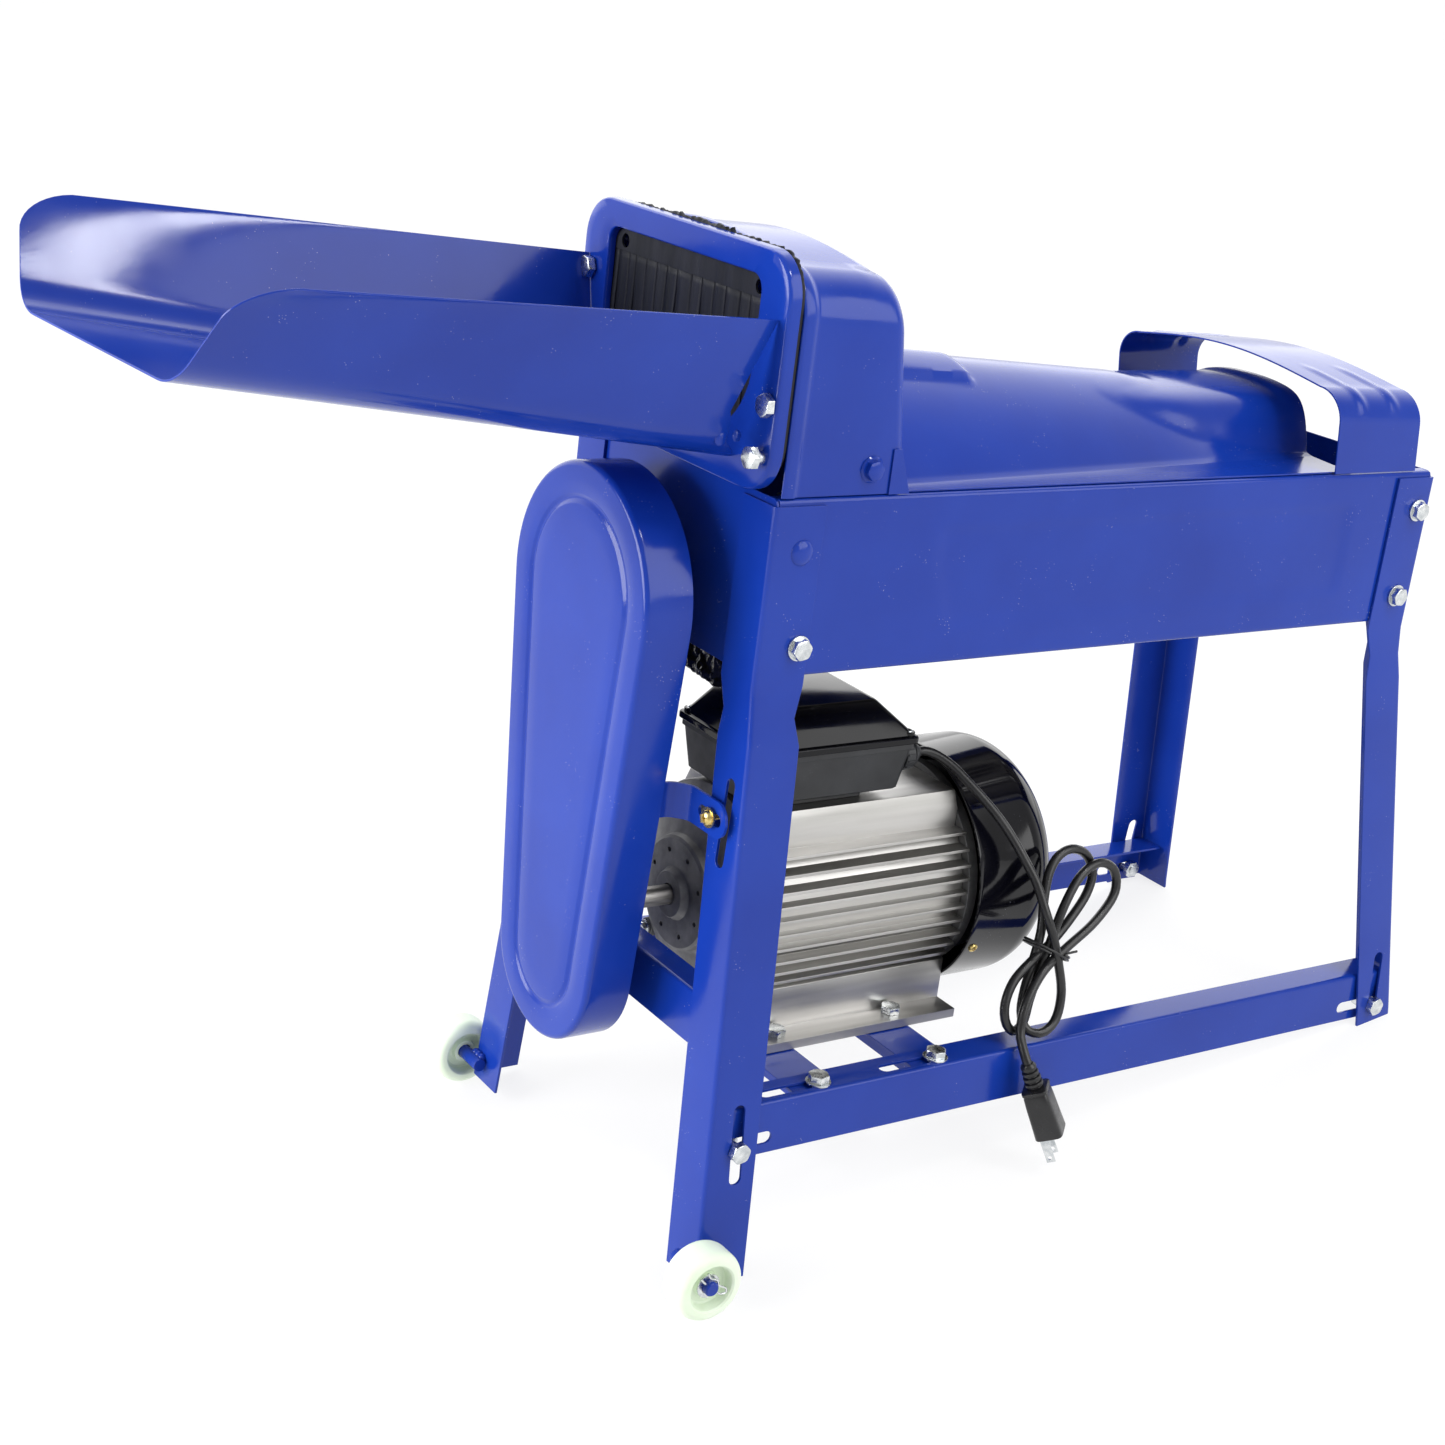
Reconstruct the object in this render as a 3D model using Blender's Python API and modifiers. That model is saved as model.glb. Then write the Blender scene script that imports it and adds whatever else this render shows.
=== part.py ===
"""Electric corn sheller on a tilted angle-iron stand, modelled as separate pieces.

Units are metres, +Z is up and the machine rests on the plane z = 0. Every piece is modelled in the
chassis frame: x runs from the front end of the sheller box to its rear, y = 0 is the middle plane and
z = 0 is the box's top edge. The chassis is one empty, pitched so that its rear end sits lower, and it
stands on two wheels in front and on the cut ends of the rear legs.
"""
from math import acos, asin, cos, pi, radians, sin, sqrt, tan

import bmesh
import bpy
from mathutils import Matrix, Vector

# ---------------------------------------------------------------- driving dimensions
PITCH = radians(7.82)          # the rear end is lower by this angle
DECK_HEIGHT = 0.5211           # height of the box's front top edge above the floor
ORIGIN_SHIFT = -0.11045        # puts the origin under the middle of the whole machine

GAP = 0.0003                   # running gap between touching pieces
SHEET = 0.0012                 # pressed steel sheet
ANGLE = 0.002                  # angle-iron wall

BOX_LENGTH = 0.5876
BOX_HALF = 0.1166              # half of the box's width
BOX_HEIGHT = 0.1143
BOX_LIP = 0.010                # inward lips along the side panels

FEED_DEPTH = 0.0998            # feed hood along x, at the box
FEED_TOP = 0.148               # crown of the feed hood
OUTLET_FRONT = 0.4848
OUTLET_REAR = 0.5694
OUTLET_TOP = 0.070

CHUTE_REACH = 0.376            # how far the chute runs in front of the box
CHUTE_ROOT_HALF = 0.1102
CHUTE_TIP_HALF = 0.1435

LEG_SIDE = 0.038               # flange on the long side of the machine
LEG_END = 0.036                # flange across the machine
FRONT_LEG_BOTTOM = -0.5195
REAR_LEG_BOTTOM = -0.4420
RAIL_TOP = -0.4005
RAIL_HEIGHT = 0.038
RAIL_HALF = 0.1422             # outer face of the long rails
RAIL_SHELF = 0.025
RAIL_START = -0.008
RAIL_END = 0.629
SLOT_WIDTH = 0.009

DRUM_Z = -0.078
DRUM_CORE = 0.030
DRUM_TIP = 0.048
SCREEN_RADIUS = 0.053
SHAFT_RADIUS = 0.0095
MOTOR_Z = -0.312
MOTOR_SHAFT = 0.007
HOUSING_FRONT = 0.072
HOUSING_REAR = 0.2375
HOUSING_CORE = 0.0700
HOUSING_BORE = 0.0640
HOUSING_ENVELOPE = 0.0800
COWL_RADIUS = 0.0895
COWL_REAR = 0.319
FOOT_HALF = 0.0825
FOOT_BOLT_HALF = 0.070
FOOT_BOLTS = (0.088, 0.188)
BARS = (0.080, 0.180)          # middles of the two motor bars
BAR_WIDTH = 0.038
BAR_BOLT_HALF = 0.1315

BELT_X = -0.046                # middle plane of the belt
DRUM_PULLEY = 0.060
MOTOR_PULLEY = 0.030
COVER_FACE = -0.063
COVER_RIM = -0.0285

WHEEL_RADIUS = 0.025
WHEEL_WIDTH = 0.025
WHEEL_HALF = 0.1711            # middle plane of each wheel
WHEEL_X = -0.0905              # wheel axis, measured along the floor from the box's front edge

CORD_RADIUS = 0.0034

# ---------------------------------------------------------------- scene, materials, frames


def clear_scene():
    for old in list(bpy.data.objects):
        bpy.data.objects.remove(old, do_unlink=True)


def collection(name):
    made = bpy.data.collections.new(name)
    bpy.context.scene.collection.children.link(made)
    return made


clear_scene()
PARTS = collection("corn_sheller")
CUTTERS = collection("cutters")


def material(name, colour, roughness, metallic=0.0):
    made = bpy.data.materials.new(name)
    made.use_nodes = True
    shader = made.node_tree.nodes["Principled BSDF"]
    shader.inputs["Base Color"].default_value = (*colour, 1.0)
    shader.inputs["Roughness"].default_value = roughness
    shader.inputs["Metallic"].default_value = metallic
    return made


BLUE = material("blue_paint", (0.030, 0.065, 0.380), 0.25)
ZINC = material("zinc_steel", (0.62, 0.63, 0.62), 0.32, 1.0)
STEEL = material("bare_steel", (0.36, 0.36, 0.37), 0.40, 1.0)
ALUMINIUM = material("brushed_aluminium", (0.66, 0.65, 0.62), 0.36, 1.0)
CAST = material("cast_aluminium", (0.30, 0.30, 0.31), 0.55, 0.8)
BLACK_PAINT = material("black_enamel", (0.008, 0.008, 0.010), 0.12)
BLACK_PLASTIC = material("black_plastic", (0.018, 0.018, 0.020), 0.45)
RUBBER = material("black_rubber", (0.015, 0.015, 0.016), 0.70)
NYLON = material("mint_nylon", (0.72, 0.84, 0.66), 0.45)
COPPER = material("copper_winding", (0.60, 0.28, 0.12), 0.40, 1.0)
IRON = material("cast_iron", (0.10, 0.10, 0.11), 0.55, 0.9)
CORD = material("cord_jacket", (0.012, 0.012, 0.013), 0.50)

CHASSIS = bpy.data.objects.new("chassis_frame", None)
PARTS.objects.link(CHASSIS)
CHASSIS.location = (ORIGIN_SHIFT, 0, DECK_HEIGHT)
CHASSIS.rotation_euler = (0, PITCH, 0)


def to_chassis(x, z):
    """Floor coordinates (x from the box's front edge, z above the floor) as chassis x and z."""
    drop = z - DECK_HEIGHT
    return x * cos(PITCH) - drop * sin(PITCH), x * sin(PITCH) + drop * cos(PITCH)


def add(obj, finish, location=(0, 0, 0), rotation=(0, 0, 0), parent=CHASSIS):
    """Link an object as a sub-part with its finish, placed in its parent's frame."""
    if obj.name not in PARTS.objects:
        PARTS.objects.link(obj)
    obj.data.materials.clear()
    obj.data.materials.append(finish)
    obj.parent = parent
    obj.location = location
    obj.rotation_euler = rotation
    return obj


def from_bmesh(name, shape):
    mesh = bpy.data.meshes.new(name)
    bmesh.ops.recalc_face_normals(shape, faces=shape.faces)
    shape.to_mesh(mesh)
    shape.free()
    return bpy.data.objects.new(name, mesh)


def smooth(obj, angle=35):
    obj.data.shade_smooth()
    obj.data.set_sharp_from_angle(angle=radians(angle))
    return obj


# ---------------------------------------------------------------- shapes

X_AXIS = (0, pi / 2, 0)        # turns local Z to the chassis x
Y_AXIS = (-pi / 2, 0, 0)       # turns local Z to the chassis y
CROSS_PLANE = (pi / 2, 0, pi / 2)   # local x, y become chassis y, z
SIDE_PLANE = (pi / 2, 0, 0)    # local x, y become chassis x, z


def block(name, size):
    shape = bmesh.new()
    bmesh.ops.create_cube(shape, size=1, matrix=Matrix.Diagonal((*size, 1)))
    return from_bmesh(name, shape)


def rod(name, radius, length, sides=20):
    """A cylinder along local Z, centred on its origin."""
    shape = bmesh.new()
    bmesh.ops.create_cone(shape, cap_ends=True, segments=sides, radius1=radius, radius2=radius, depth=length)
    return from_bmesh(name, shape)


def turned(name, profile, steps=28):
    """A profile of (radius, height) turned about local Z; it runs down the outer side, top to bottom."""
    mesh = bpy.data.meshes.new(name)
    edges = [(i, i + 1) for i in range(len(profile) - 1)]
    if profile[0][0] > 0:
        edges.append((len(profile) - 1, 0))
    mesh.from_pydata([(r, 0, h) for r, h in profile], edges, [])
    obj = bpy.data.objects.new(name, mesh)
    screw = obj.modifiers.new("turn", "SCREW")
    screw.steps = steps
    screw.render_steps = steps
    screw.use_merge_vertices = True
    screw.merge_threshold = 0.00001
    return obj


def ring_profile(inner, outer, low, high):
    return [(outer, high), (outer, low), (inner, low), (inner, high)]


def flat(name, outlines, thickness):
    """A flat plate from closed outlines in local x, y; later outlines are holes."""
    curve = bpy.data.curves.new(name, "CURVE")
    curve.dimensions = "2D"
    curve.fill_mode = "BOTH"
    curve.extrude = thickness / 2
    for outline in outlines:
        spline = curve.splines.new("POLY")
        spline.points.add(len(outline) - 1)
        for point, (x, y) in zip(spline.points, outline):
            point.co = (x, y, 0, 1)
        spline.use_cyclic_u = True
    return bpy.data.objects.new(name, curve)


def as_mesh(obj):
    """The same shape as a welded mesh object, for cutting; the curve is removed."""
    PARTS.objects.link(obj)
    bpy.context.view_layer.update()
    evaluated = obj.evaluated_get(bpy.context.evaluated_depsgraph_get())
    mesh = bpy.data.meshes.new_from_object(evaluated)
    shape = bmesh.new()
    shape.from_mesh(mesh)
    bmesh.ops.remove_doubles(shape, verts=shape.verts, dist=0.00001)
    bmesh.ops.recalc_face_normals(shape, faces=shape.faces)
    shape.to_mesh(mesh)
    shape.free()
    name = obj.name
    place = obj.matrix_world.copy()
    bpy.data.objects.remove(obj, do_unlink=True)
    made = bpy.data.objects.new(name, mesh)
    made.matrix_world = place
    return made


def sheet(name, rows, thickness, around=False):
    """A skin through rows of points, given a wall; around joins each row's last point to its first."""
    shape = bmesh.new()
    grid = [[shape.verts.new(point) for point in row] for row in rows]
    count = len(rows[0])
    for lower, upper in zip(grid, grid[1:]):
        for i in range(count if around else count - 1):
            j = (i + 1) % count
            shape.faces.new((lower[i], lower[j], upper[j], upper[i]))
    obj = from_bmesh(name, shape)
    wall = obj.modifiers.new("wall", "SOLIDIFY")
    wall.thickness = thickness
    wall.offset = -1
    return obj


def loft(name, rings):
    """A solid through closed rings of points, with flat ends."""
    shape = bmesh.new()
    grid = [[shape.verts.new(point) for point in ring] for ring in rings]
    count = len(rings[0])
    for lower, upper in zip(grid, grid[1:]):
        for i in range(count):
            j = (i + 1) % count
            shape.faces.new((lower[i], lower[j], upper[j], upper[i]))
    shape.faces.new(grid[0])
    shape.faces.new(grid[-1])
    return from_bmesh(name, shape)


def arc(cx, cy, radius, start, end, count):
    """Points on an arc, in degrees, both ends included."""
    step = (end - start) / (count - 1)
    turns = [radians(start + step * i) for i in range(count)]
    return [(cx + radius * cos(t), cy + radius * sin(t)) for t in turns]


def circle(cx, cy, radius, count=24):
    return arc(cx, cy, radius, 0, 360 - 360 / count, count)


def slot_outline(cx, cy, length, width, upright=False):
    half = (length - width) / 2
    ends = arc(half, 0, width / 2, -90, 90, 7) + arc(-half, 0, width / 2, 90, 270, 7)
    if upright:
        return [(cx + y, cy + x) for x, y in ends][::-1]
    return [(cx + x, cy + y) for x, y in ends]


def rounded_rectangle(left, right, low, high, radius, count=6):
    corners = ((right, low, -90), (right, high, 0), (left, high, 90), (left, low, 180))
    points = []
    for x, y, start in corners:
        cx = x - radius if x == right else x + radius
        cy = y - radius if y == high else y + radius
        points += arc(cx, cy, radius, start, start + 90, count)
    return points


def tube(name, points, radius, resolution=2):
    curve = bpy.data.curves.new(name, "CURVE")
    curve.dimensions = "3D"
    curve.bevel_depth = radius
    curve.bevel_resolution = resolution
    curve.use_fill_caps = True
    spline = curve.splines.new("POLY")
    spline.points.add(len(points) - 1)
    for point, place in zip(spline.points, points):
        point.co = (*place, 1)
    return bpy.data.objects.new(name, curve)


def cut(target, cutter, location=(0, 0, 0), rotation=(0, 0, 0), parent=CHASSIS):
    """Cut a piece with a hidden cutter that is placed in the chassis frame."""
    CUTTERS.objects.link(cutter)
    cutter.parent = parent
    cutter.location = location
    cutter.rotation_euler = rotation
    cutter.hide_render = True
    cutter.display_type = "WIRE"
    made = target.modifiers.new("cut_" + cutter.name, "BOOLEAN")
    made.operation = "DIFFERENCE"
    made.solver = "EXACT"
    made.object = cutter
    return target


def join(target, other):
    """Unite another mesh object with this one, as one body."""
    CUTTERS.objects.link(other)
    other.hide_render = True
    other.display_type = "WIRE"
    made = target.modifiers.new("join_" + other.name, "BOOLEAN")
    made.operation = "UNION"
    made.solver = "EXACT"
    made.object = other
    return target


def slot_cutter(name, length, depth, upright=False):
    return as_mesh(flat(name, [slot_outline(0, 0, length, SLOT_WIDTH, upright)], depth))


# ---------------------------------------------------------------- sheller box

SIDES = (("right", -1), ("left", 1))


def side_panels():
    """Side walls with an inward lip at the top and at the bottom."""
    for side, way in SIDES:
        wall = BOX_HALF * way
        lip = (BOX_HALF - BOX_LIP) * way
        profile = ((lip, 0), (wall, 0), (wall, -BOX_HEIGHT), (lip, -BOX_HEIGHT))
        ends = (0.0018, BOX_LENGTH - 0.0018)
        rows = [[(x, y, z) for x in ends] for y, z in profile]
        if way > 0:
            rows = rows[::-1]
        add(sheet("side_panel_" + side, rows, SHEET), BLUE)


def end_plates():
    """Front and rear walls of the box, each with a clearance hole round the drum shaft."""
    half = BOX_HALF
    for name, x in (("end_plate_front", 0.00075), ("end_plate_rear", BOX_LENGTH - 0.00075)):
        outline = rounded_rectangle(-half, half, -BOX_HEIGHT, 0, 0.004, 3)
        hole = circle(0, DRUM_Z, SHAFT_RADIUS + 0.0015, 20)[::-1]
        add(flat(name, [outline, hole], 0.0015), BLUE, (x, 0, 0), CROSS_PLANE)


def concave_screen():
    """Trough under the drum, with a flat wing to each side panel."""
    bowl = arc(0, DRUM_Z, SCREEN_RADIUS, 180, 360, 17)
    wing = BOX_HALF - BOX_LIP - 0.001
    profile = [(-wing, DRUM_Z)] + bowl + [(wing, DRUM_Z)]
    rows = [[(x, y, z) for x in (0.022, 0.500)] for y, z in profile]
    add(smooth(sheet("concave_screen", rows, SHEET)), STEEL)


def discharge_apron():
    """Rubber apron that hangs under the front end of the box and turns kernels down."""
    plate = block("discharge_apron", (0.0025, 0.176, 0.022))
    add(plate, RUBBER, (0.0098, 0, -BOX_HEIGHT - 0.0127))


HUMP_START = FEED_DEPTH + 0.0006
HUMP_END = 0.505
HOOD_LEAN = 0.15               # the feed hood's rear edge leans forward by this much of its height
COVER_LIFT = 0.0005


def hump_half(x):
    """Half-width of the hump over the drum, which narrows towards the outlet."""
    t = (x - HUMP_START) / (HUMP_END - HUMP_START)
    return 0.104 - 0.030 * t


def hump_height(x):
    t = (x - HUMP_START) / (HUMP_END - HUMP_START)
    return 0.064 - 0.024 * t


def hump_z(x, y):
    """Height of the cover's skin over the box's top edge."""
    half = hump_half(x)
    if abs(y) >= half:
        return COVER_LIFT + SHEET
    ratio = abs(y) / half
    bulge = (1 - ratio ** 2.2) ** 1.15
    return COVER_LIFT + SHEET + hump_height(x) * bulge


def hump_profile(x, count=25):
    """Points across the cover, closer together where the hump rises."""
    half = hump_half(x)
    inner = [-half * cos(pi * i / (count - 1)) for i in range(count)]
    return [(y, hump_z(x, y)) for y in inner]


def top_cover():
    """Pressed cover with a long hump over the drum; its rear end stays open over the outlet."""
    edge = BOX_HALF - 0.0035
    level = COVER_LIFT + SHEET
    rows = []
    stations = 12
    for i in range(stations + 1):
        t = i / stations
        x = HUMP_START + (HUMP_END - HUMP_START) * t
        profile = [(-edge, level)] + hump_profile(x) + [(edge, level)]
        rows.append([(x - HOOD_LEAN * z * (1 - t), y, z) for y, z in profile])
    add(smooth(sheet("top_cover", rows, SHEET), 50), BLUE)


def arch_profile(half, side, top, corner, lift=0.0, count=7, crown=0.010):
    """Half-round-cornered arch from (-half, lift) over the top to (half, lift)."""
    shoulder = top - crown
    left = [(-half, lift), (-half, side)]
    left += [(-half + corner - corner * cos(a), shoulder - corner + corner * sin(a))
             for a in [radians(90 * i / (count - 1)) for i in range(count)]]
    inside = half - corner
    middle = [(-inside + 2 * inside * i / 8, 0) for i in range(1, 8)]
    middle = [(y, shoulder + crown * cos(pi * y / (2 * inside))) for y, _ in middle]
    right = [(-y, z) for y, z in left[::-1]]
    return left + middle + right


def feed_hood():
    """Crowned hood over the feed end: open in front, below and, under the hump, behind."""
    rows = []
    for x, grow, lift in ((0.0026, 0.0, 0.0), (0.012, 0.0, 0.0), (0.016, -0.0015, 0.0), (0.068, -0.0015, 0.0)):
        lean = 0.004 * (x / 0.08)
        profile = arch_profile(BOX_HALF + grow, 0.05, FEED_TOP + grow - lean, 0.030, 0.0006)
        rows.append([(x, y, z) for y, z in profile])
    outer = arch_profile(BOX_HALF - 0.0015, 0.05, FEED_TOP - 0.0055, 0.030, 0.0006)
    inner = arch_profile(BOX_HALF - 0.0125, 0.05, FEED_TOP - 0.0165, 0.026, 0.0006)
    opening = hood_opening(len(outer))
    rows.append([(rear_edge(z) - 0.010, y, z) for y, z in outer])
    rows.append([(rear_edge(z) - 0.003, y, z) for y, z in mix(outer, inner, 0.3)])
    rows.append([(rear_edge(z), y, z) for y, z in inner])
    rows.append([(rear_edge(z), y, z) for y, z in opening])
    add(smooth(sheet("feed_hood", rows, SHEET), 40), BLUE)


def rear_edge(z):
    """The hood's rear edge leans forward as it rises."""
    return FEED_DEPTH - HOOD_LEAN * z


def mix(first, second, share):
    return [(a[0] + (b[0] - a[0]) * share, a[1] + (b[1] - a[1]) * share) for a, b in zip(first, second)]


def hood_opening(count):
    """The hump's inner outline with as many points as the hood's own outline."""
    half = hump_half(HUMP_START) - 0.001
    points = []
    for i in range(count):
        turn = pi * i / (count - 1)
        y = -half * cos(turn)
        points.append((y, max(0.0006, hump_z(HUMP_START, y) - 0.001 - COVER_LIFT - SHEET)))
    return points


def feed_frame():
    """Pressed frame in front of the hood: outer rim, face and a rim turned in round the opening."""
    outer = rounded_rectangle(-0.119, 0.119, 0.0012, 0.1462, 0.028)
    inner = rounded_rectangle(-0.088, 0.088, 0.026, 0.1290, 0.010)
    rows = [
        [(-0.0022, y, z) for y, z in outer],
        [(-0.0092, y, z) for y, z in outer],
        [(-0.0112, y, z) for y, z in mix(outer, inner, 0.07)],
        [(-0.0112, y, z) for y, z in inner],
        [(-0.0062, y, z) for y, z in inner],
    ]
    add(smooth(sheet("feed_frame", rows, SHEET, around=True), 40), BLUE)


def hood_seal():
    """Rubber strip between the feed frame and the hood."""
    outer = rounded_rectangle(-0.1165, 0.1165, 0.0035, 0.1452, 0.027)
    inner = rounded_rectangle(-0.1085, 0.1085, 0.0110, 0.1380, 0.020)
    add(flat("hood_seal", [outer, inner[::-1]], 0.0040), RUBBER, (0.00005, 0, 0), CROSS_PLANE)


CURTAIN_HINGE = (-0.0045, 0.1315)


def rubber_curtain():
    """Rubber flap that hangs behind the frame's opening and swings into the hood."""
    hinge = bpy.data.objects.new("curtain_hinge", None)
    PARTS.objects.link(hinge)
    hinge.parent = CHASSIS
    hinge.location = (CURTAIN_HINGE[0], 0, CURTAIN_HINGE[1])
    outline = [(-0.096, -0.104), (0.096, -0.104), (0.096, 0.003), (-0.096, 0.003)]
    holes = [circle(y, -0.007, 0.0045, 12)[::-1] for y in (-0.079, 0.079)]
    add(flat("rubber_curtain", [outline] + holes, 0.0018), RUBBER, (0, 0, 0), CROSS_PLANE, hinge)


def chute_section(t):
    """Section of the chute: t is 0 at the feed frame and 1 at the tip; y, z points, right wall first."""
    top_half = CHUTE_ROOT_HALF + (CHUTE_TIP_HALF - CHUTE_ROOT_HALF) * t
    floor_half = 0.088 + 0.014 * t
    top = 0.1075 + 0.0205 * t
    floor = 0.0175 + 0.0525 * t
    bend = 0.024
    wall = Vector((top_half - floor_half, top - floor))
    tilt = acos(wall.normalized().dot(Vector((1, 0))))
    reach = bend * tan(tilt / 2)
    start = Vector((floor_half, floor)) + wall.normalized() * reach
    centre = Vector((floor_half - reach, floor + bend))
    curve = [(centre.x + bend * sin(a), centre.y - bend * cos(a)) for a in [tilt * i / 5 for i in range(6)]]
    wall_points = [(start.x + (top_half - start.x) * s, start.y + (top - start.y) * s) for s in (0.4, 0.72, 0.9, 1)]
    half = [(0.0, floor), (curve[0][0] / 2, floor)] + curve + wall_points
    left = half[::-1]
    return [(-y, z) for y, z in left] + half[1:]


def chute_front(height):
    """Where the chute's front edge lies, by height above its floor (0 to 1): a round corner at the top."""
    inside = min(1.0, max(0.0, (height - 0.69) / 0.31))
    rounding = 0.032 * (1 - sqrt(1 - inside * inside))
    return CHUTE_REACH - 0.014 * height - rounding


def feed_chute():
    """Open trough that rises away from the box and widens towards its tip."""
    rows = []
    stations = 9
    root = -0.0118
    for i in range(stations + 1):
        t = i / stations
        section = chute_section(t)
        low = section[len(section) // 2][1]
        high = section[0][1]
        row = []
        for y, z in section:
            height = (z - low) / (high - low)
            row.append((root - (chute_front(height) + root) * t, y, z))
        rows.append(row)
    add(smooth(sheet("feed_chute", rows, SHEET), 50), BLUE)


def outlet_hood():
    """Arched guard over the cob outlet, open in front and behind."""
    rows = []
    for i in range(5):
        t = i / 4
        top = OUTLET_TOP - 0.003 * t
        profile = arch_profile(BOX_HALF - 0.0005, 0.020, top, 0.022, 0.0006)
        rows.append([(OUTLET_FRONT + (OUTLET_REAR - OUTLET_FRONT) * t - 0.15 * z, y, z) for y, z in profile])
    add(smooth(sheet("outlet_hood", rows, SHEET), 40), BLUE)


# ---------------------------------------------------------------- stand

LEG_TOP = -0.004
KINK_TOP = -0.120
KINK_LOW = -0.140
LEG_OUT = BOX_HALF + GAP + ANGLE


def leg_rows(stations, end_way, way):
    """An L-section through stations of (x, y, z, pinch, drop) at its outer corner.

    end_way is +1 where the side flange runs to +x from the corner. The drop lowers the corner and the
    end flange below the side flange's edge.
    """
    rows = []
    for x, y, z, pinch, drop in stations:
        rows.append([
            (x + end_way * (LEG_SIDE - pinch), y * way, z + drop),
            (x, y * way, z),
            (x, (y - LEG_END + pinch) * way, z),
        ])
    return rows


def front_legs():
    """Front legs splay outwards and reach down to the wheels."""
    x = -GAP - ANGLE
    for side, way in SIDES:
        stations = (
            (x, LEG_OUT, LEG_TOP, 0.0, 0.0),
            (x - 0.0005, LEG_OUT, KINK_TOP, 0.0, 0.0),
            (x - 0.0010, LEG_OUT + 0.003, KINK_LOW, 0.005, 0.0),
            (x - 0.0017, LEG_OUT + 0.006, KINK_LOW - 0.018, 0.0, 0.0),
            (-0.0172, 0.158, FRONT_LEG_BOTTOM, 0.0, 0.0),
        )
        rows = leg_rows(stations, 1, way)
        if way > 0:
            rows = rows[::-1]
        leg = sheet("front_leg_" + side, rows, ANGLE)
        leg.modifiers["wall"].offset = -1
        slot = slot_cutter("front_leg_slot_" + side, 0.056, 0.030, upright=True)
        cut(leg, slot, (0.0085, 0.150 * way, -0.4235), SIDE_PLANE)
        guide = slot_cutter("front_leg_guide_" + side, 0.060, 0.030, upright=True)
        cut(leg, guide, (-0.006, 0.1115 * way, -0.2107), CROSS_PLANE)
        add(leg, BLUE)


def rear_legs():
    """Rear legs splay outwards and backwards; their end flanges are cut level with the floor."""
    x = BOX_LENGTH + GAP + ANGLE
    for side, way in SIDES:
        stations = (
            (x, LEG_OUT, LEG_TOP, 0.0, 0.0),
            (x, LEG_OUT, KINK_TOP, 0.0, 0.0),
            (x + 0.001, LEG_OUT + 0.002, KINK_LOW, 0.005, 0.0),
            (x + 0.004, LEG_OUT + 0.005, KINK_LOW - 0.018, 0.0, 0.0),
            (0.6405, 0.148, REAR_LEG_BOTTOM, 0.0, 0.006),
        )
        rows = leg_rows(stations, -1, way)
        if way < 0:
            rows = rows[::-1]
        leg = sheet("rear_leg_" + side, rows, ANGLE)
        slot = slot_cutter("rear_leg_slot_" + side, 0.048, 0.030, upright=True)
        cut(leg, slot, (0.6165, 0.144 * way, -0.4070), SIDE_PLANE)
        floor = block("floor_cut_" + side, (0.2, 0.2, 0.05))
        cut(leg, floor, (0.5812 + ORIGIN_SHIFT, 0.148 * way, -0.025), (0, 0, 0), None)
        add(leg, BLUE)


def long_rails():
    """Angle-iron rails between the legs, shelf on top and turned inwards, with adjusting slots."""
    for side, way in SIDES:
        face = RAIL_HALF * way
        profile = ((face, RAIL_TOP - RAIL_HEIGHT), (face, RAIL_TOP), (face - RAIL_SHELF * way, RAIL_TOP))
        rows = [[(x, y, z) for x in (RAIL_START, RAIL_END)] for y, z in profile]
        if way < 0:
            rows = rows[::-1]
        rail = sheet("long_rail_" + side, rows, ANGLE)
        for name, x, length in (("front", 0.0155, 0.050), ("rear", 0.6030, 0.042)):
            cutter = slot_cutter(f"rail_slot_{name}_{side}", length, 0.020)
            cut(rail, cutter, (x, face, RAIL_TOP - 0.0265), SIDE_PLANE)
        for name, x in (("front", 0.062), ("rear", 0.162)):
            cutter = slot_cutter(f"shelf_slot_{name}_{side}", 0.056, 0.020)
            cut(rail, cutter, (x, BAR_BOLT_HALF * way, RAIL_TOP), (0, 0, 0))
        add(rail, BLUE)


CROSS_RAIL_TOP = -0.333


def cross_rail():
    """Flat rail across the front legs, behind their end flanges, with a lip turned back on top."""
    x = -0.0062
    half = 0.1300
    profile = ((x, CROSS_RAIL_TOP - 0.037), (x, CROSS_RAIL_TOP), (x + 0.020, CROSS_RAIL_TOP))
    rows = [[(a, y, z) for y in (-half, half)] for a, z in profile]
    add(sheet("front_cross_rail", rows, ANGLE), BLUE)


def motor_bars():
    """Two angle irons under the rails' shelves that carry the motor."""
    top = RAIL_TOP - ANGLE - GAP
    half = RAIL_HALF - ANGLE - 0.0012
    for name, middle in zip(("front", "rear"), BARS):
        low = middle - BAR_WIDTH / 2
        high = middle + BAR_WIDTH / 2
        profile = ((low, top), (high, top), (high, top - 0.036))
        rows = [[(x, y, z) for y in (-half, half)] for x, z in profile]
        bar = sheet("motor_bar_" + name, rows, ANGLE)
        for side, way in SIDES:
            hole = rod(f"bar_hole_{name}_{side}", 0.0043, 0.02, 16)
            cut(bar, hole, (middle + 0.002, BAR_BOLT_HALF * way, top))
            slot = slot_cutter(f"bar_slot_{name}_{side}", 0.024, 0.02, upright=True)
            cut(bar, slot, (foot_bolt_x(name), FOOT_BOLT_HALF * way, top))
        add(bar, BLUE)


def foot_bolt_x(name):
    return FOOT_BOLTS[0] if name == "front" else FOOT_BOLTS[1]


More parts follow.
